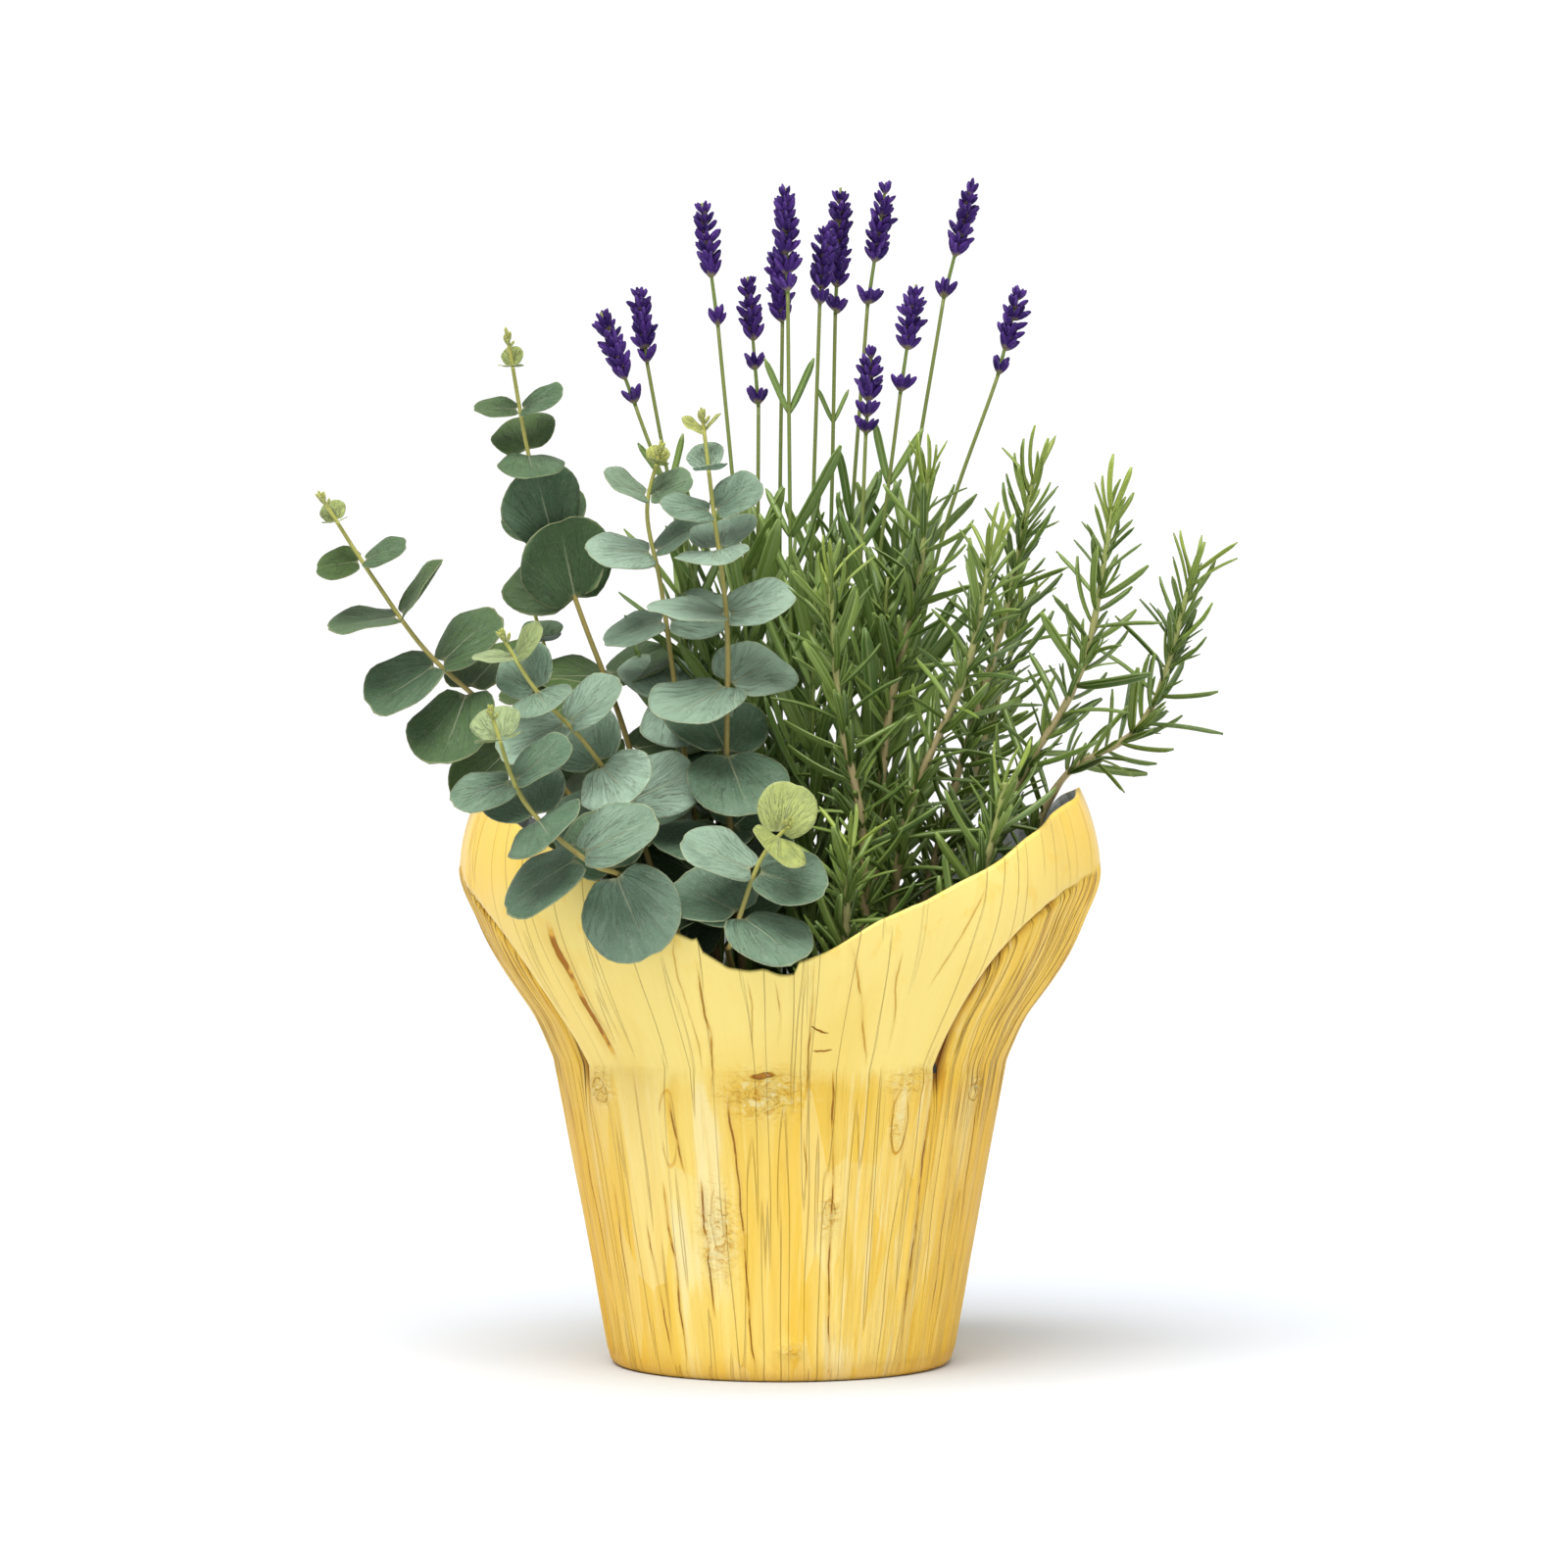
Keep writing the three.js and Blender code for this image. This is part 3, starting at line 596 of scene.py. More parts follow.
def at(x, y, height):  # millimetres beside the pot's axis and over the datum
    return Vector((x / 1000 + planting["sideShift"], y / 1000, planting["datum"] + height / 1000))


def overRim(angle, stemRadius):
    turn = math.radians(angle)
    rise = rimHeight(turn)
    reach = coverSizes["neck"] + skirtSpread(abs(math.sin(turn)), rise) - coverSizes["wall"] / 2
    height = coverSizes["neckHeight"] + rise + planting["rimClearance"] + stemRadius
    return Vector((reach * math.sin(turn), -reach * math.cos(turn), height))


class Route:  # a smooth line through points, walked by a share of its length
    def __init__(self, points):
        ends = [points[0] * 2 - points[1], *points, points[-1] * 2 - points[-2]]
        self.line = [points[0]]
        for one, two, three, four in zip(ends, ends[1:], ends[2:], ends[3:]):
            first, middle, last = (gap.length ** 0.5 for gap in (two - one, three - two, four - three))
            leave = (two - one) / first - (three - one) / (first + middle) + (three - two) / middle
            reach = (three - two) / middle - (four - two) / (middle + last) + (four - three) / last
            handles = two + leave * middle / 3, three - reach * middle / 3
            self.line += geometry.interpolate_bezier(two, *handles, three, 25)[1:]
        self.marks = [0]
        for one, other in zip(self.line, self.line[1:]):
            self.marks.append(self.marks[-1] + (other - one).length)

    def place(self, share):
        goal = min(max(share, 0), 1) * self.marks[-1]
        spot = min(max(bisect.bisect_right(self.marks, goal) - 1, 0), len(self.line) - 2)
        part = (goal - self.marks[spot]) / (self.marks[spot + 1] - self.marks[spot])
        return self.line[spot].lerp(self.line[spot + 1], part)

    def heading(self, share):
        return (self.place(share + 0.01) - self.place(share - 0.01)).normalized()


def rooted(root, points):
    foot = at(*root, 0)
    reach = planting["rootReach"]
    return Route([Vector((foot.x, foot.y, soilBox[1].z + rise)) for rise in (-reach, 0, reach)] + points)


def onStem(route, share, turn, lift, toLight=0.0, gap=0.0):
    # frame of a leaf: x across it, y along it, z out of its upper face
    along = (route.heading(share) + planting["light"] * toLight).normalized()
    across = (Vector((1, 0, 0)) - along * along.x).normalized()
    behind = along.cross(across)
    out = across * math.cos(math.radians(turn)) + behind * math.sin(math.radians(turn))
    pointing = out * math.cos(math.radians(lift)) + along * math.sin(math.radians(lift))
    face = along * math.cos(math.radians(lift)) - out * math.sin(math.radians(lift))
    turned = Matrix((pointing.cross(face), pointing, face)).transposed().to_4x4()
    return Matrix.Translation(route.place(share) + pointing * gap) @ turned


def plantMesh():
    bm = bmesh.new()
    for name in leafLayers:
        bm.verts.layers.float.new(name)
    return bm


def tapered(radius, thinning):
    return lambda share: radius - thinning * share


def sweepTube(bm, route, radii, sides, rows, start=planting["stemStart"], young=(0, 1)):
    # a closed tube along a route; radii gives its radius at a share of the way
    along, tint, youth = (bm.verts.layers.float[name] for name in ("along", "tint", "young"))
    shade = random.random()

    def ringFrame(share):
        way = start + (1 - start) * share
        frameAt = onStem(route, way, 0, 0)
        across, up = frameAt.col[1].xyz, frameAt.col[2].xyz
        turned = Matrix((across, up.cross(across), up)).transposed().to_4x4()
        return Matrix.Translation(route.place(way)) @ turned

    made = bmesh.ops.create_circle(bm, cap_ends=False, segments=sides, radius=1)
    ring = made["verts"]
    edges = list({edge for vert in ring for edge in vert.link_edges})
    before = Matrix()
    for row in range(rows + 1):
        share = row / rows
        if row:
            ring, edges = nextRing(bm, edges)
        else:
            bmesh.ops.contextual_create(bm, geom=edges)
        after = ringFrame(share) @ Matrix.Scale(radii(share), 4)
        bmesh.ops.transform(bm, matrix=after @ before.inverted(), verts=ring)
        before = after
        for vert in ring:
            vert[along], vert[tint], vert[youth] = share, shade, young[0] + (young[1] - young[0]) * share
    bmesh.ops.contextual_create(bm, geom=edges)


def leafTemplate(name, columns, rows, thick, shape, material=1):
    # a leaf of unit length; shape gives the place of a point and its first three layers
    bm = plantMesh()
    layers = [bm.verts.layers.float[layer] for layer in leafLayers[:3]]
    bmesh.ops.create_grid(bm, x_segments=columns, y_segments=rows, size=1)
    for vert in bm.verts:
        across, along = vert.co.x, (vert.co.y + 1) / 2
        vert.co, shares = shape(across, along)
        for layer, value in zip(layers, shares):
            vert[layer] = value
    bmesh.ops.remove_doubles(bm, verts=bm.verts, dist=1e-5)
    bmesh.ops.dissolve_degenerate(bm, edges=bm.edges, dist=1e-6)
    bmesh.ops.recalc_face_normals(bm, faces=bm.faces)
    bmesh.ops.solidify(bm, geom=bm.faces[:], thickness=thick)
    return template(name, bm, material)


def template(name, bm, material):
    bmesh.ops.recalc_face_normals(bm, faces=bm.faces)
    for face in bm.faces:
        face.smooth = True
        face.material_index = material
    mesh = bpy.data.meshes.new(name)
    bm.to_mesh(mesh)
    bm.free()
    return mesh


def addNarrow(bm, meshes, frameAt, length, young=0.0, width=1.0):
    if clearOfCover(frameAt, length):
        addLeaf(bm, random.choice(meshes), frameAt, length, random.random(), young, width)


def addLeaf(bm, mesh, frameAt, length, tint, young=0.0, width=1.0):
    count = len(bm.verts)
    bm.from_mesh(mesh)
    bm.verts.ensure_lookup_table()
    fresh = bm.verts[count:]
    sizes = Matrix.Diagonal((length * width, length, length, 1))
    bmesh.ops.transform(bm, matrix=frameAt @ sizes, verts=fresh)
    shade, youth = (bm.verts.layers.float[name] for name in ("tint", "young"))
    for vert in fresh:
        vert[shade], vert[youth] = tint, young


def clearOfCover(frameAt, length):
    # whether a narrow leaf stays on its own side of the cover's wall
    sides = set()
    for step in range(10):
        spot = frameAt @ Vector((0, length * step / 9, 0))
        azimuth = math.atan2(spot.x, -spot.y)
        rise = spot.z - coverSizes["neckHeight"]
        if rise < rimHeight(azimuth) + planting["clearAbove"]:
            slope = (coverSizes["neck"] - coverSizes["foot"]) / coverSizes["neckHeight"]
            spread = skirtSpread(abs(math.sin(azimuth)), rise) if rise > 0 else slope * rise
            away = spot.xy.length - (coverSizes["neck"] + spread)
            if -planting["clearInside"] < away < planting["clearOutside"]:
                return False
            sides.add(away > 0)
    return len(sides) < 2


def tilted(frameAt, pitch, roll):
    # the same leaf frame, nodded and rolled at random within these degrees
    nod = Matrix.Rotation(math.radians(random.uniform(-pitch, pitch)), 4, "X")
    return frameAt @ nod @ Matrix.Rotation(math.radians(random.uniform(-roll, roll)), 4, "Y")


def plantPiece(name, bm, materials, slot, node):
    for face in bm.faces:
        face.smooth = True
    finished(meshObject(name, bm, materials), slot, node)


# eucalyptus
roundLeaf = {"aspect": 1.16, "columns": 12, "rows": 14, "thick": 0.012, "variants": 4}
twigRadius = (0.0014, 0.0007)  # at the root, and how much thinner the tip is

# root, points, how far the blades turn to the light, shade 0 pale to 1 dark, and the pairs:
# share of the stem, turn, lift, length, and the lift of a front leaf that stands up before the stem
twigs = [
    ((-45, 8), [at(-73, 0, 91), at(-102, 0, 126), at(-132, -5, 154), at(-151, -5, 180), at(-171, -5, 211)],
     0.8, 0.85,
     [(0.45, 290, 0, 28), (0.56, 205, 0, 30), (0.66, 245, 0, 31), (0.715, 205, 15, 28), (0.8, 190, 25, 26),
      (0.895, 180, 10, 17), (0.96, 100, 35, 9)]),
    ((-34, 22), [at(-59, 25, 121), at(-77, 25, 170), at(-94, 22, 220), at(-104, 20, 273)], 1.5, 0.85,
     [(0.45, 200, 0, 28), (0.55, 185, 10, 26), (0.65, 120, 10, 34, 78), (0.735, 105, 10, 29, 76),
      (0.85, 100, 10, 20), (0.905, 180, 20, 17), (0.96, 90, 40, 8)]),
    ((-22, 2), [at(-39, 5, 128), at(-46, 0, 179), at(-51, -2, 207), at(-46, -2, 229)], 0.9, 0.22,
     [(0.5, 230, 0, 28), (0.62, 105, 5, 29), (0.735, 190, 0, 24), (0.84, 195, 20, 24), (0.925, 190, 30, 18),
      (0.975, 90, 45, 8)]),
    ((-14, -22), [at(-21, -30, 106), at(-21, -38, 163), at(-26, -38, 205), at(-30, -36, 239)], 0.8, 0.05,
     [(0.4, 230, 5, 32), (0.51, 285, 5, 33), (0.61, 228, 0, 31), (0.71, 183, 20, 27), (0.805, 262, 10, 23),
      (0.86, 195, 25, 20), (0.92, 100, 30, 12), (0.975, 10, 40, 9)]),
    ((-36, -14), [at(-53, -35, 88), at(-70, -55, 118), at(-89, -60, 139), at(-101, -60, 158)], 0.9, 0.22,
     [(0.6, 200, 0, 28), (0.7, 300, 5, 26), (0.8, 200, 10, 25), (0.88, 290, 20, 20), (0.955, 190, 30, 14)]),
    ((-30, -38),
     [at(-40, -70, 56), overRim(-29, 0.0013), at(-67, -114, 78), at(-90, -112, 99), at(-102, -108, 130)],
     1.2, 0.45,
     [(0.61, 290, -10, 31), (0.7, 200, 5, 30), (0.8, 290, 10, 26), (0.875, 200, 15, 22),
      (0.95, 100, 30, 15)]),
    ((-12, -46), [at(-20, -75, 45), overRim(-9, 0.0013), at(-8, -110, 80), at(1, -115, 91)], 1.3, 0.3,
     [(0.755, 315, 0, 30), (0.86, 345, 10, 26), (0.965, 80, 30, 18)]),
    ((-42, 36), [at(-66, 48, 90), at(-82, 54, 128), at(-91, 56, 155), at(-97, 56, 175)], 0.4, 0.8,
     [(0.45, 100, 0, 27), (0.57, 190, 0, 29), (0.7, 95, 5, 27), (0.82, 185, 10, 23), (0.92, 90, 25, 15)]),
]


def roundBlade(variant):
    cup = (0.10, 0.04, 0.16, -0.03)[variant]
    twist = (0.05, -0.08, 0.10, -0.04)[variant]

    def shape(across, along):
        turn = math.pi * along
        half = max(math.sin(turn), 0) ** 0.94 * roundLeaf["aspect"] / 2
        wave = 1 + 0.02 * math.sin(5 * turn + 2 * variant)
        x = across * half * wave
        y = (1 - math.cos(turn)) / 2
        tip = math.exp(-((x / 0.09) ** 2)) * smoothStep(0.8, 1, y)
        heart = math.exp(-((x / 0.16) ** 2)) * (1 - smoothStep(0, 0.2, y))
        z = cup * (x * x * 1.6 + (y - 0.4) ** 2) + twist * x * (y - 0.3) * 1.6
        ripple = 0.022 * math.sin(9 * y + 5 * x + variant * 2) * abs(across)
        z += ripple + 0.018 * abs(x) ** 0.7 - 0.10 * y * y
        edge = math.hypot(x / (roundLeaf["aspect"] / 2), (y - 0.5) / 0.5)
        lobes = (1 - smoothStep(0, 0.4, y)) * smoothStep(0.04, 0.25, abs(x)) * 0.08
        fan, reach = math.atan2(x, y + 0.1), math.hypot(x, y)
        return (x, y - 0.03 * tip + 0.04 * heart - lobes, z), (fan, reach, min(edge, 1))

    return shape


def eucalyptusLeaf():
    paint = Paint("eucalyptus_leaf", Roughness=0.5)
    paint.shader.inputs["Specular IOR Level"].default_value = 0.22
    across, along, edge, tint, young = (paint.stored(name) for name in leafLayers)
    spread = paint.node("CombineXYZ", {}, {"X": across * 9.0, "Y": along * 1.6, "Z": tint * 37})
    ribs = paint.noise(spread, scale=1.0, detail=4, distortion=1.1)
    net = paint.cells(paint.place((520, 520, 520)), "DISTANCE_TO_EDGE", "Distance")
    bloom = paint.noise(paint.place((110, 110, 110)), detail=3)
    dark, mid, pale = (0.070, 0.126, 0.024, 1), (0.092, 0.168, 0.092, 1), (0.35, 0.49, 0.36, 1)
    colour = paint.mix(tint.between(0.45, 1.0), paint.mix(tint.between(0.0, 0.45), pale, mid), dark)
    colour = paint.mix(young.between(0.3, 0.95) * 0.85, colour, (0.42, 0.49, 0.16, 1))
    colour = paint.mix(young.between(0.75, 1.0) * 0.55, colour, (0.70, 0.66, 0.09, 1))
    waxy = (1.1 - tint) * (1 - young * 0.8)
    colour = paint.mix(bloom.between(0.4, 0.7) * waxy * 0.2, colour, (0.34, 0.44, 0.35, 1))
    colour = paint.mix(bloom.between(0.5, 0.3) * 0.3, colour, (0.07, 0.12, 0.075, 1))
    vein = (1 - (ribs - 0.5).maths("ABSOLUTE").between(0.0, 0.03)) * (1 - along.between(0.6, 1.0) * 0.7)
    middle = across.maths("ABSOLUTE") * (along + 0.08)
    midrib = (1 - middle.between(0.004, 0.02)) * (1 - along.between(0.2, 0.9))
    heart = (1 - along.between(0.0, 0.12)) * 0.55
    colour = paint.mix((1 - net.between(0.0, 0.12)) * waxy * 0.3, colour, (0.3, 0.4, 0.3, 1))
    colour = paint.mix(ribs.between(0.46, 0.3) * 0.3, colour, (0.05, 0.10, 0.06, 1))
    colour = paint.mix(vein * (waxy * 0.2 + 0.14), colour, (0.42, 0.5, 0.34, 1))
    colour = paint.mix(midrib * 0.6, colour, (0.5, 0.55, 0.34, 1))
    colour = paint.mix(heart, colour, (0.5, 0.52, 0.28, 1))
    colour = paint.mix(edge.between(0.965, 0.995) * 0.4, colour, (0.5, 0.5, 0.27, 1))
    paint.feed("Base Color", colour)
    paint.bump(vein * 0.5 + midrib + net.between(0.0, 0.1) * -0.12, 0.0005)
    return paint.material


def stemPaint(name, low, high, tip):
    paint = Paint(name, Roughness=0.5)
    young = paint.stored("young")
    fine = paint.noise(paint.place((300, 300, 60)), detail=2)
    colour = paint.mix(young.between(0.0, 0.6), low, high)
    colour = paint.mix(young.between(0.6, 1.0), colour, tip)
    colour = paint.mix(fine.between(0.5, 0.75) * 0.2, colour, low)
    paint.feed("Base Color", colour)
    return paint.material


budProfile = [(0, 0.08), (0.14, 0.13), (0.42, 0.175), (0.7, 0.17), (0.9, 0.11), (1, 0.05)]  # height, radius


def makeBud():
    # a plump bud of unit length that stands on its narrow end
    bm = plantMesh()
    along, edge = bm.verts.layers.float["along"], bm.verts.layers.float["edge"]
    upright = Matrix.Rotation(math.radians(90), 4, "X")
    ring = bmesh.ops.create_circle(bm, cap_ends=False, segments=6, radius=1, matrix=upright)["verts"]
    edges = list({side for vert in ring for side in vert.link_edges})
    for row, (height, radius) in enumerate(budProfile):
        if row:
            ring, edges = nextRing(bm, edges)
        else:
            bmesh.ops.contextual_create(bm, geom=edges)
        for vert in ring:
            angle = math.atan2(vert.co.z, vert.co.x)
            odd = round(angle / math.radians(60)) % 2
            wide = radius * (1 + 0.14 * odd)
            vert.co = wide * math.cos(angle), height + 0.04 * odd * (row > 3), wide * math.sin(angle)
            vert[along], vert[edge] = height, odd
    bmesh.ops.contextual_create(bm, geom=edges)
    return template("bud", bm, 1)


def makeEucalyptus(bud):
    grid = [roundLeaf[size] for size in ("columns", "rows", "thick")]
    leaves = [leafTemplate(f"round_leaf_{i}", *grid, roundBlade(i)) for i in range(roundLeaf["variants"])]
    stem = stemPaint("eucalyptus_stem", (0.15, 0.075, 0.022, 1), (0.42, 0.33, 0.09, 1), (0.5, 0.5, 0.12, 1))
    blade = eucalyptusLeaf()
    for number, (root, points, toLight, shade, pairs) in enumerate(twigs, 1):
        route = rooted(root, points)
        bm = plantMesh()
        sweepTube(bm, route, tapered(*twigRadius), 8, 70)
        # two more pairs low in the bunch, deep inside the pot, which the painted shade below makes dark
        low = [(0.27, 60, 35, 24), (0.34, 340, 30, 25)] if number not in (6, 7) else []
        for share, turn, lift, length, *standing in low + pairs:
            young = smoothStep(0.86, 1.0, share)
            for side in (0, 180):
                spot = onStem(route, share, turn + side, lift, toLight, 0.001)
                if standing and side:
                    spot = onStem(route, share, turn + side, standing[0], 0, 0.001)
                # painted shade: leaves low on the stem, deep in the bunch, are tinted darker
                lowShade = smoothStep(0.62, 0.4, share) * 0.5  # darker low on the stem
                tint = min(max(shade + random.uniform(-0.22, 0.22) + lowShade, 0), 1)
                grown = length / 1000 * random.uniform(0.94, 1.06)
                leaf, placed = random.choice(leaves), tilted(spot, 9, 12)
                addLeaf(bm, leaf, placed, grown, tint, young, random.uniform(0.94, 1.06))
        for tipTurn in range(7):
            spot = onStem(route, 0.985 + 0.002 * tipTurn, tipTurn * 137.5, 55 + 4 * tipTurn, toLight, 0.0004)
            addLeaf(bm, bud, spot, random.uniform(0.003, 0.0045), 0.2, 1.0)
        plantPiece(f"eucalyptus_twig_{number}", bm, [stem, blade], "eucalyptus_leaf", f"eucalyptus_{number}")


# rosemary: the root of each sprig and the points of its stem
sprigs = [
    ((28, -30), [at(28, -42, 88), at(20, -43, 130), at(16, -42, 180)]),
    ((31, -3), [at(38, -2, 128), at(50, 0, 185), at(53, 0, 222)]),
    ((37, -17), [at(44, -30, 92), at(66, -38, 148), at(75, -38, 192)]),
    ((41, 10), [at(62, 14, 100), at(82, 15, 168), at(93, 15, 221)]),
    ((50, -9), [at(84, -15, 103), at(108, -18, 146), at(120, -18, 206)]),
    ((54, 8), [at(88, 26, 74), overRim(105, 0.0018), at(134, 28, 128), at(154, 24, 187)]),
    ((49, -36), [at(68, -66, 65), at(74, -71, 88), at(78, -72, 106)]),
    ((16, -48), [at(21, -76, 45), at(22, -82, 68), at(23, -84, 84)]),
    ((44, 30), [at(66, 48, 90), at(82, 56, 140), at(92, 58, 176)]),
]
needleSizes = {"length": 0.0275, "width": 0.0025, "nodeGap": 0.0048, "start": 0.17}


def strap(halfWidth, bend, fold):
    # a narrow leaf with a blunt tip, a grooved middle and rolled edges
    def shape(across, along):
        full = smoothStep(-0.25, 0.3, along) * (1 - smoothStep(0.78, 1.03, along)) ** 0.5
        x = across * halfWidth * full
        z = bend * along * along - fold * (across * across - 0.35 * math.exp(-((across / 0.3) ** 2))) * full
        return (x, along, z), (across, along, abs(across))

    return shape


def strapPaint(name, dark, light, young, line):
    paint = Paint(name, Roughness=0.42)
    along, edge, tint, youth = (paint.stored(layer) for layer in leafLayers[1:])
    mottle = paint.noise(paint.place((260, 260, 260)), detail=2)
    colour = paint.mix(tint, dark, light)
    colour = paint.mix(youth.between(0.2, 1.0) * 0.8, colour, young)
    colour = paint.mix(mottle.between(0.45, 0.75) * 0.15, colour, light)
    # a pale line down the middle of each leaf: partly its own paler midrib, partly painted highlight
    rib = 1 - edge.between(0.05, 0.3)
    colour = paint.mix(rib * 0.6, colour, line)
    colour = paint.mix((1 - along.between(0.0, 0.15)) * 0.5, colour, line)
    colour = paint.mix(edge.between(0.8, 1.0) * 0.25, colour, line)
    paint.feed("Base Color", colour)
    return paint.material


def makeRosemary():
    half = needleSizes["width"] / needleSizes["length"] / 2
    needles = [leafTemplate(f"needle_{i}", 4, 7, 0.026, strap(half, bend, 0.024))
               for i, bend in enumerate((0.14, 0.26, -0.14, -0.26))]
    bark = stemPaint("rosemary_stem", (0.19, 0.10, 0.045, 1), (0.43, 0.35, 0.16, 1), (0.34, 0.40, 0.11, 1))
    shades = (0.042, 0.095, 0.010, 1), (0.19, 0.285, 0.042, 1), (0.40, 0.50, 0.055, 1), (0.38, 0.47, 0.15, 1)
    green = strapPaint("rosemary_needle", *shades)
    for number, (root, points) in enumerate(sprigs, 1):
        route = rooted(root, points)
        bm = plantMesh()
        knobs = random.uniform(0, 9)

        def knobbly(share):
            return (0.0019 - 0.0009 * share) * (1 + 0.12 * math.sin(90 * share + knobs))

        sweepTube(bm, route, knobbly, 8, 110)
        length = route.marks[-1]
        share, turn = needleSizes["start"], random.uniform(0, 90)
        while share < 0.992:
            upper = smoothStep(0.75, 1.0, share)
            for side in (0, 180):
                lift = 32 + 30 * upper + random.uniform(-16, 16)
                spot = onStem(route, share, turn + side + random.uniform(-14, 14), lift, 0.1, 0.0008)
                grown = needleSizes["length"] * random.uniform(0.75, 1.12) * (1 - 0.3 * upper)
                young = smoothStep(0.85, 1.05, share)
                addNarrow(bm, needles, tilted(spot, 6, 55), grown, young)
                if random.random() < 0.5 * (1 - smoothStep(0.85, 0.95, share)):
                    for extra in range(3):
                        aside = turn + side + random.uniform(-50, 50)
                        spot = onStem(route, share, aside, random.uniform(45, 70), 0.1, 0.0008)
                        grown = needleSizes["length"] * random.uniform(0.35, 0.62)
                        addNarrow(bm, needles, tilted(spot, 6, 55), grown, min(young + 0.2, 1), 1.15)
            turn += 90 + random.uniform(-12, 12)
            share += needleSizes["nodeGap"] / length * (1.2 - 0.65 * upper)
        plantPiece(f"rosemary_sprig_{number}", bm, [bark, green], "rosemary_green", f"rosemary_{number}")


# lavender stalks: root, a point on the way, the lowest ring of buds, the tip, and where the spike starts
stalks = [
    ((-15, 14), (-34, 17, 182), (-56, 20, 247), (-69, 20, 282), 0.27),
    ((-16, 30), (-38, 33, 185), (-52, 34, 264), (-55, 34, 291), 0.2),
    ((-5, 11), (-17, 13, 190), (-25, 14, 276), (-31, 14, 322), 0.39),
    ((-5, 24), (-10, 26, 180), (-10, 26, 247), (-14, 26, 296), 0.5),
    ((4, 8), (2, 9, 190), (1, 10, 288), (0, 10, 327), 0.16),
    ((0, 36), (-2, 39, 190), (-1, 40, 280), (-3, 40, 306), 0.12),
    ((7, 20), (10, 23, 190), (13, 24, 285), (15, 24, 312), 0.2),
    ((10, 33), (17, 37, 190), (19, 38, 283), (21, 38, 331), 0.2),
    ((14, 6), (27, 7, 170), (30, 8, 235), (32, 8, 266), 0.4),
    ((15, 26), (24, 28, 190), (31, 28, 285), (38, 28, 331), 0.34),
    ((19, 15), (33, 16, 170), (43, 16, 251), (49, 16, 292), 0.4),
    ((24, 34), (44, 38, 190), (60, 40, 289), (71, 40, 332), 0.36),
    ((28, 23), (57, 28, 190), (80, 28, 259), (88, 28, 290), 0.3),
]
secondWhorls = {4: 0.27, 9: 0.2}

# the stalks with a pair of leaves high up: share of the stalk, length in metres
highLeaves = {2: (0.83, 0.02), 4: (0.8, 0.024), 5: (0.85, 0.022), 8: (0.86, 0.014), 11: (0.87, 0.024)}

# leafy shoots between the stalks: root and points
tufts = [
    ((-24, 24), [at(-34, 34, 110), at(-40, 37, 190)]),
    ((-10, 42), [at(-19, 47, 110), at(-24, 50, 192)]),
    ((-9, 18), [at(-14, 21, 120), at(-15, 19, 198)]),
    ((4, 46), [at(2, 52, 110), at(0, 54, 190)]),
    ((9, 13), [at(10, 3, 110), at(11, 2, 178)]),
    ((17, 40), [at(20, 46, 120), at(24, 48, 205)]),
    ((22, 5), [at(32, 7, 100), at(38, 0, 182)]),
    ((31, 39), [at(42, 46, 120), at(49, 50, 205)]),
]
lavenderSizes = {
    "whorlGap": 0.0035,
    "budLength": 0.0066,
    "leafLength": 0.036,
    "leafWidth": 0.0042,
    "tuftGap": 0.042,  # from one pair of leaves to the next, as a share of the shoot
    "stalk": (0.00095, 0.00015),  # radius at the root, and how much thinner the tip is
    "head": (0.0008, 0.0003),
    "shoot": (0.0012, 0.0005),
}


def budPaint():
    paint = Paint("lavender_bud", Roughness=0.6)
    paint.shader.inputs["Specular IOR Level"].default_value = 0.15
    along, edge, tint = (paint.stored(layer) for layer in leafLayers[1:4])
    fine = paint.noise(paint.place((900, 900, 900)), detail=2)
    colour = paint.mix(tint, (0.022, 0.007, 0.085, 1), (0.075, 0.026, 0.20, 1))
    # lighter violet on the bud's ridges and in fine specks: partly pale hairs, partly painted highlight
    colour = paint.mix(edge.between(0.6, 1.0) * 0.25, colour, (0.20, 0.11, 0.42, 1))
    colour = paint.mix(fine.between(0.6, 0.74) * 0.3, colour, (0.42, 0.27, 0.62, 1))
    colour = paint.mix((1 - along.between(0.05, 0.36)) * 0.8, colour, (0.36, 0.30, 0.14, 1))
    paint.feed("Base Color", colour)
    return paint.material


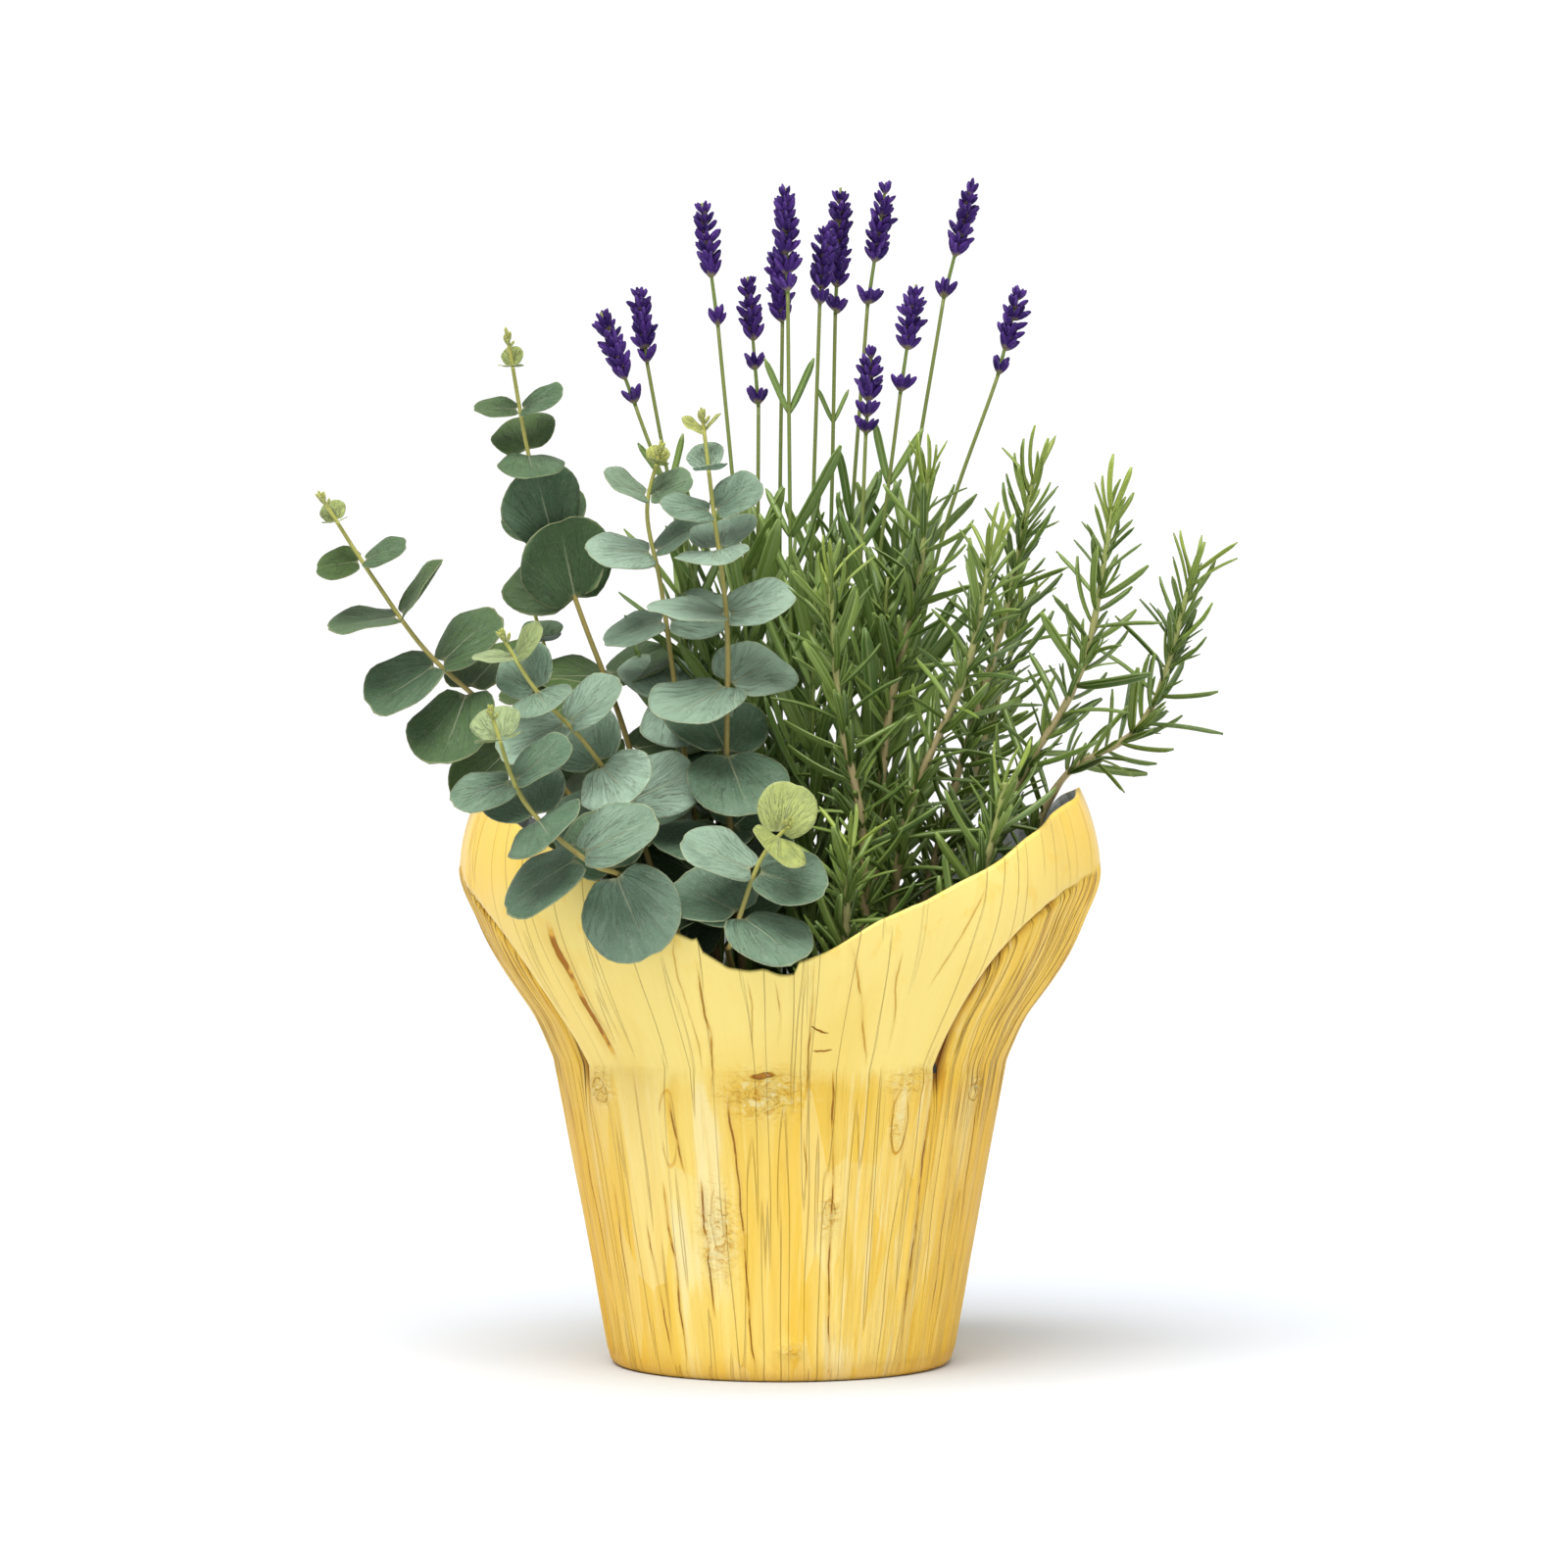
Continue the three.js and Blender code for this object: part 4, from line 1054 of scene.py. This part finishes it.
def makeLavender(bud):
    strapHalf = lavenderSizes["leafWidth"] / lavenderSizes["leafLength"] / 2
    blades = [leafTemplate(f"strap_leaf_{i}", 4, 8, 0.012, strap(strapHalf, bend, 0.02))
              for i, bend in enumerate((0.06, 0.14, -0.08, -0.16))]
    green = stemPaint("lavender_stem", (0.085, 0.14, 0.022, 1), (0.15, 0.22, 0.04, 1), (0.21, 0.25, 0.055, 1))
    shades = (0.085, 0.165, 0.025, 1), (0.23, 0.34, 0.07, 1), (0.27, 0.36, 0.09, 1), (0.34, 0.43, 0.15, 1)
    leaf = strapPaint("lavender_leaf", *shades)
    violet = budPaint()
    for number, (root, bend, base, tip, spike) in enumerate(stalks, 1):
        low, high = at(*base), at(*tip)
        route = rooted(root, [at(*bend), low])
        bm = plantMesh()
        sweepTube(bm, route, tapered(*lavenderSizes["stalk"]), 6, 60)
        for leafNumber in range(random.choice((4, 5, 6))):
            share = random.uniform(0.3, 0.74)
            turn = random.uniform(0, 360)
            for side in (0, 180):
                spot = onStem(route, share, turn + side, random.uniform(52, 72), 0, 0.0006)
                addNarrow(bm, blades, tilted(spot, 5, 70), random.uniform(0.022, 0.04), 0.2)
        if number in highLeaves:
            share, length = highLeaves[number]
            for side in (10, 190):
                spot = onStem(route, share, side, random.uniform(62, 72), 0, 0.0006)
                addNarrow(bm, blades, spot @ Matrix.Rotation(math.radians(75), 4, "Y"), length, 0.2)
        name = f"lavender_stalk_{number}"
        plantPiece(name, bm, [green, leaf], "lavender_green", name)
        head = Route([low, low.lerp(high, 0.5), high])
        height = head.marks[-1]
        bm = plantMesh()
        sweepTube(bm, head, tapered(*lavenderSizes["head"]), 5, 12, 0, (0.6, 1))
        full = lavenderSizes["budLength"]
        whorls = [(0, full, 7)] + ([(secondWhorls[number], full, 8)] if number in secondWhorls else [])
        share = spike
        while share < 0.93:
            taper = 1 - 0.35 * smoothStep(0.6, 1, share)
            whorls.append((share, full * taper, 8))
            share += lavenderSizes["whorlGap"] / height * random.uniform(0.85, 1.25)
        for share, length, count in whorls:
            start = random.uniform(0, 360)
            for place in range(count):
                turn = start + 360 * place / count + random.uniform(-12, 12)
                opening = 50 if share > spike else 58
                lift = opening + 24 * smoothStep(0.75, 1, share) + random.uniform(-14, 10)
                spot = onStem(head, min(share + random.uniform(0, 0.03), 0.99), turn, lift, 0, 0.0006)
                addLeaf(bm, bud, tilted(spot, 6, 90), length * random.uniform(0.82, 1.1), random.random())
        node = f"lavender_flower_{number}"
        plantPiece(f"lavender_head_{number}", bm, [green, violet], "lavender_violet", node)
    for number, (root, points) in enumerate(tufts, 1):
        route = rooted(root, points)
        bm = plantMesh()
        sweepTube(bm, route, tapered(*lavenderSizes["shoot"]), 6, 50)
        share, turn = 0.13, random.uniform(0, 90)
        while share < 0.99:
            for side in (0, 180):
                aside = turn + side + random.uniform(-20, 20)
                spot = onStem(route, share, aside, random.uniform(48, 72), 0, 0.0006)
                grown = random.uniform(0.028, 0.046) * (1 - 0.3 * smoothStep(0.85, 1, share))
                addNarrow(bm, blades, tilted(spot, 6, 70), grown, smoothStep(0.7, 1, share) * 0.7)
            turn += 90 + random.uniform(-25, 25)
            share += lavenderSizes["tuftGap"]
        node = f"lavender_leaves_{number}"
        plantPiece(f"lavender_tuft_{number}", bm, [green, leaf], "lavender_green", node)


# nursery pot and soil
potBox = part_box("nursery_pot")
potSizes = {
    "wall": 0.0012,
    "lip": 0.001,
    "lipHeight": 0.006,
    "edge": 0.0004,  # taken off the lip's corners
    "slack": 0.0003,  # between the soil and the pot's foot
    "segments": 120,
}
soilSizes = {
    "mound": 0.003,
    "lumps": 0.0022,
    "rows": 26,
    "segments": 110,
    "crumbs": 900,
    "crumbRadius": (0.0008, 0.0026),
}


def spun(profile, segments):
    # a closed body from its profile, radius and height
    bm = bmesh.new()
    spin(bm, [(radius, 0, height) for radius, height in profile], segments)
    bmesh.ops.remove_doubles(bm, verts=bm.verts, dist=1e-6)
    bmesh.ops.recalc_face_normals(bm, faces=bm.faces)
    return bm


def makePot():
    low, high, reach = potBox[0].z, potBox[1].z, potBox[1].x
    wall, lip = potSizes["wall"], potSizes["lip"]
    shoulder = high - potSizes["lipHeight"]
    foot = soilBottomRadius() + wall + potSizes["slack"]
    soft = potSizes["edge"]
    profile = [
        (0, low), (foot, low), (reach - lip, shoulder), (reach, shoulder + soft), (reach, high - soft),
        (reach - soft, high), (reach - lip - wall, high), (foot - wall, low + wall), (0, low + wall),
    ]
    bm = spun(profile, potSizes["segments"])
    plastic = plainPaint("dark_plastic", (0.02, 0.022, 0.02, 1), 0.5)
    finished(meshObject("nursery_pot_shell", bm, [plastic]), "pot_plastic", "nursery_pot")


def soilBottomRadius():
    heights = (soilBox[1].z - soilBox[0].z) / (coverSizes["neckHeight"] - coverSizes["footRound"])
    return soilBox[1].x - (coverSizes["neck"] - coverSizes["foot"]) * heights


def makeSoil():
    low, top, edge = soilBox[0].z, soilBox[1].z, soilBox[1].x
    mound, rows = soilSizes["mound"], soilSizes["rows"]
    rim = top - mound
    profile = [(0, low), (soilBottomRadius(), low), (edge, rim)]
    for row in range(1, rows + 1):
        profile.append((edge * (1 - row / rows), rim + mound * math.sin(row / rows * math.pi / 2)))
    bm = spun(profile, soilSizes["segments"])
    for vert in bm.verts:
        if vert.co.z > rim - 0.0001:
            fade = 1 - smoothStep(0.9, 1, vert.co.xy.length / edge)
            vert.co.z += soilSizes["lumps"] * noise.noise(vert.co * 110) * fade
    for number in range(soilSizes["crumbs"]):
        away, turn = edge * 0.95 * math.sqrt(random.random()), random.uniform(0, 2 * math.pi)
        sizes = Matrix.Diagonal([random.uniform(*soilSizes["crumbRadius"]) for axis in range(3)] + [1])
        height = rim + mound * math.cos(away / edge * math.pi / 2)
        spot = Matrix.Translation((away * math.cos(turn), away * math.sin(turn), height))
        rolled = Matrix.Rotation(random.uniform(0, 6), 4, "X") @ Matrix.Rotation(random.uniform(0, 6), 4, "Z")
        bmesh.ops.create_icosphere(bm, subdivisions=1, radius=1, matrix=spot @ rolled @ sizes)
    paint = Paint("potting_soil", Roughness=0.95)
    clods = paint.noise(paint.place((300, 300, 300)), detail=4)
    paint.feed("Base Color", paint.mix(clods, (0.006, 0.004, 0.003, 1), (0.06, 0.038, 0.022, 1)))
    paint.bump(clods, 0.001)
    finished(meshObject("soil_bed", bm, [paint.material]), "potting_soil", "soil")


makeCamera()
makeStudio()
print("studio ready")
makeCover()
print("cover ready")
makePot()
makeSoil()
print("pot and soil ready")
bud = makeBud()
makeEucalyptus(bud)
print("eucalyptus ready")
makeRosemary()
print("rosemary ready")
makeLavender(bud)
print("lavender ready")
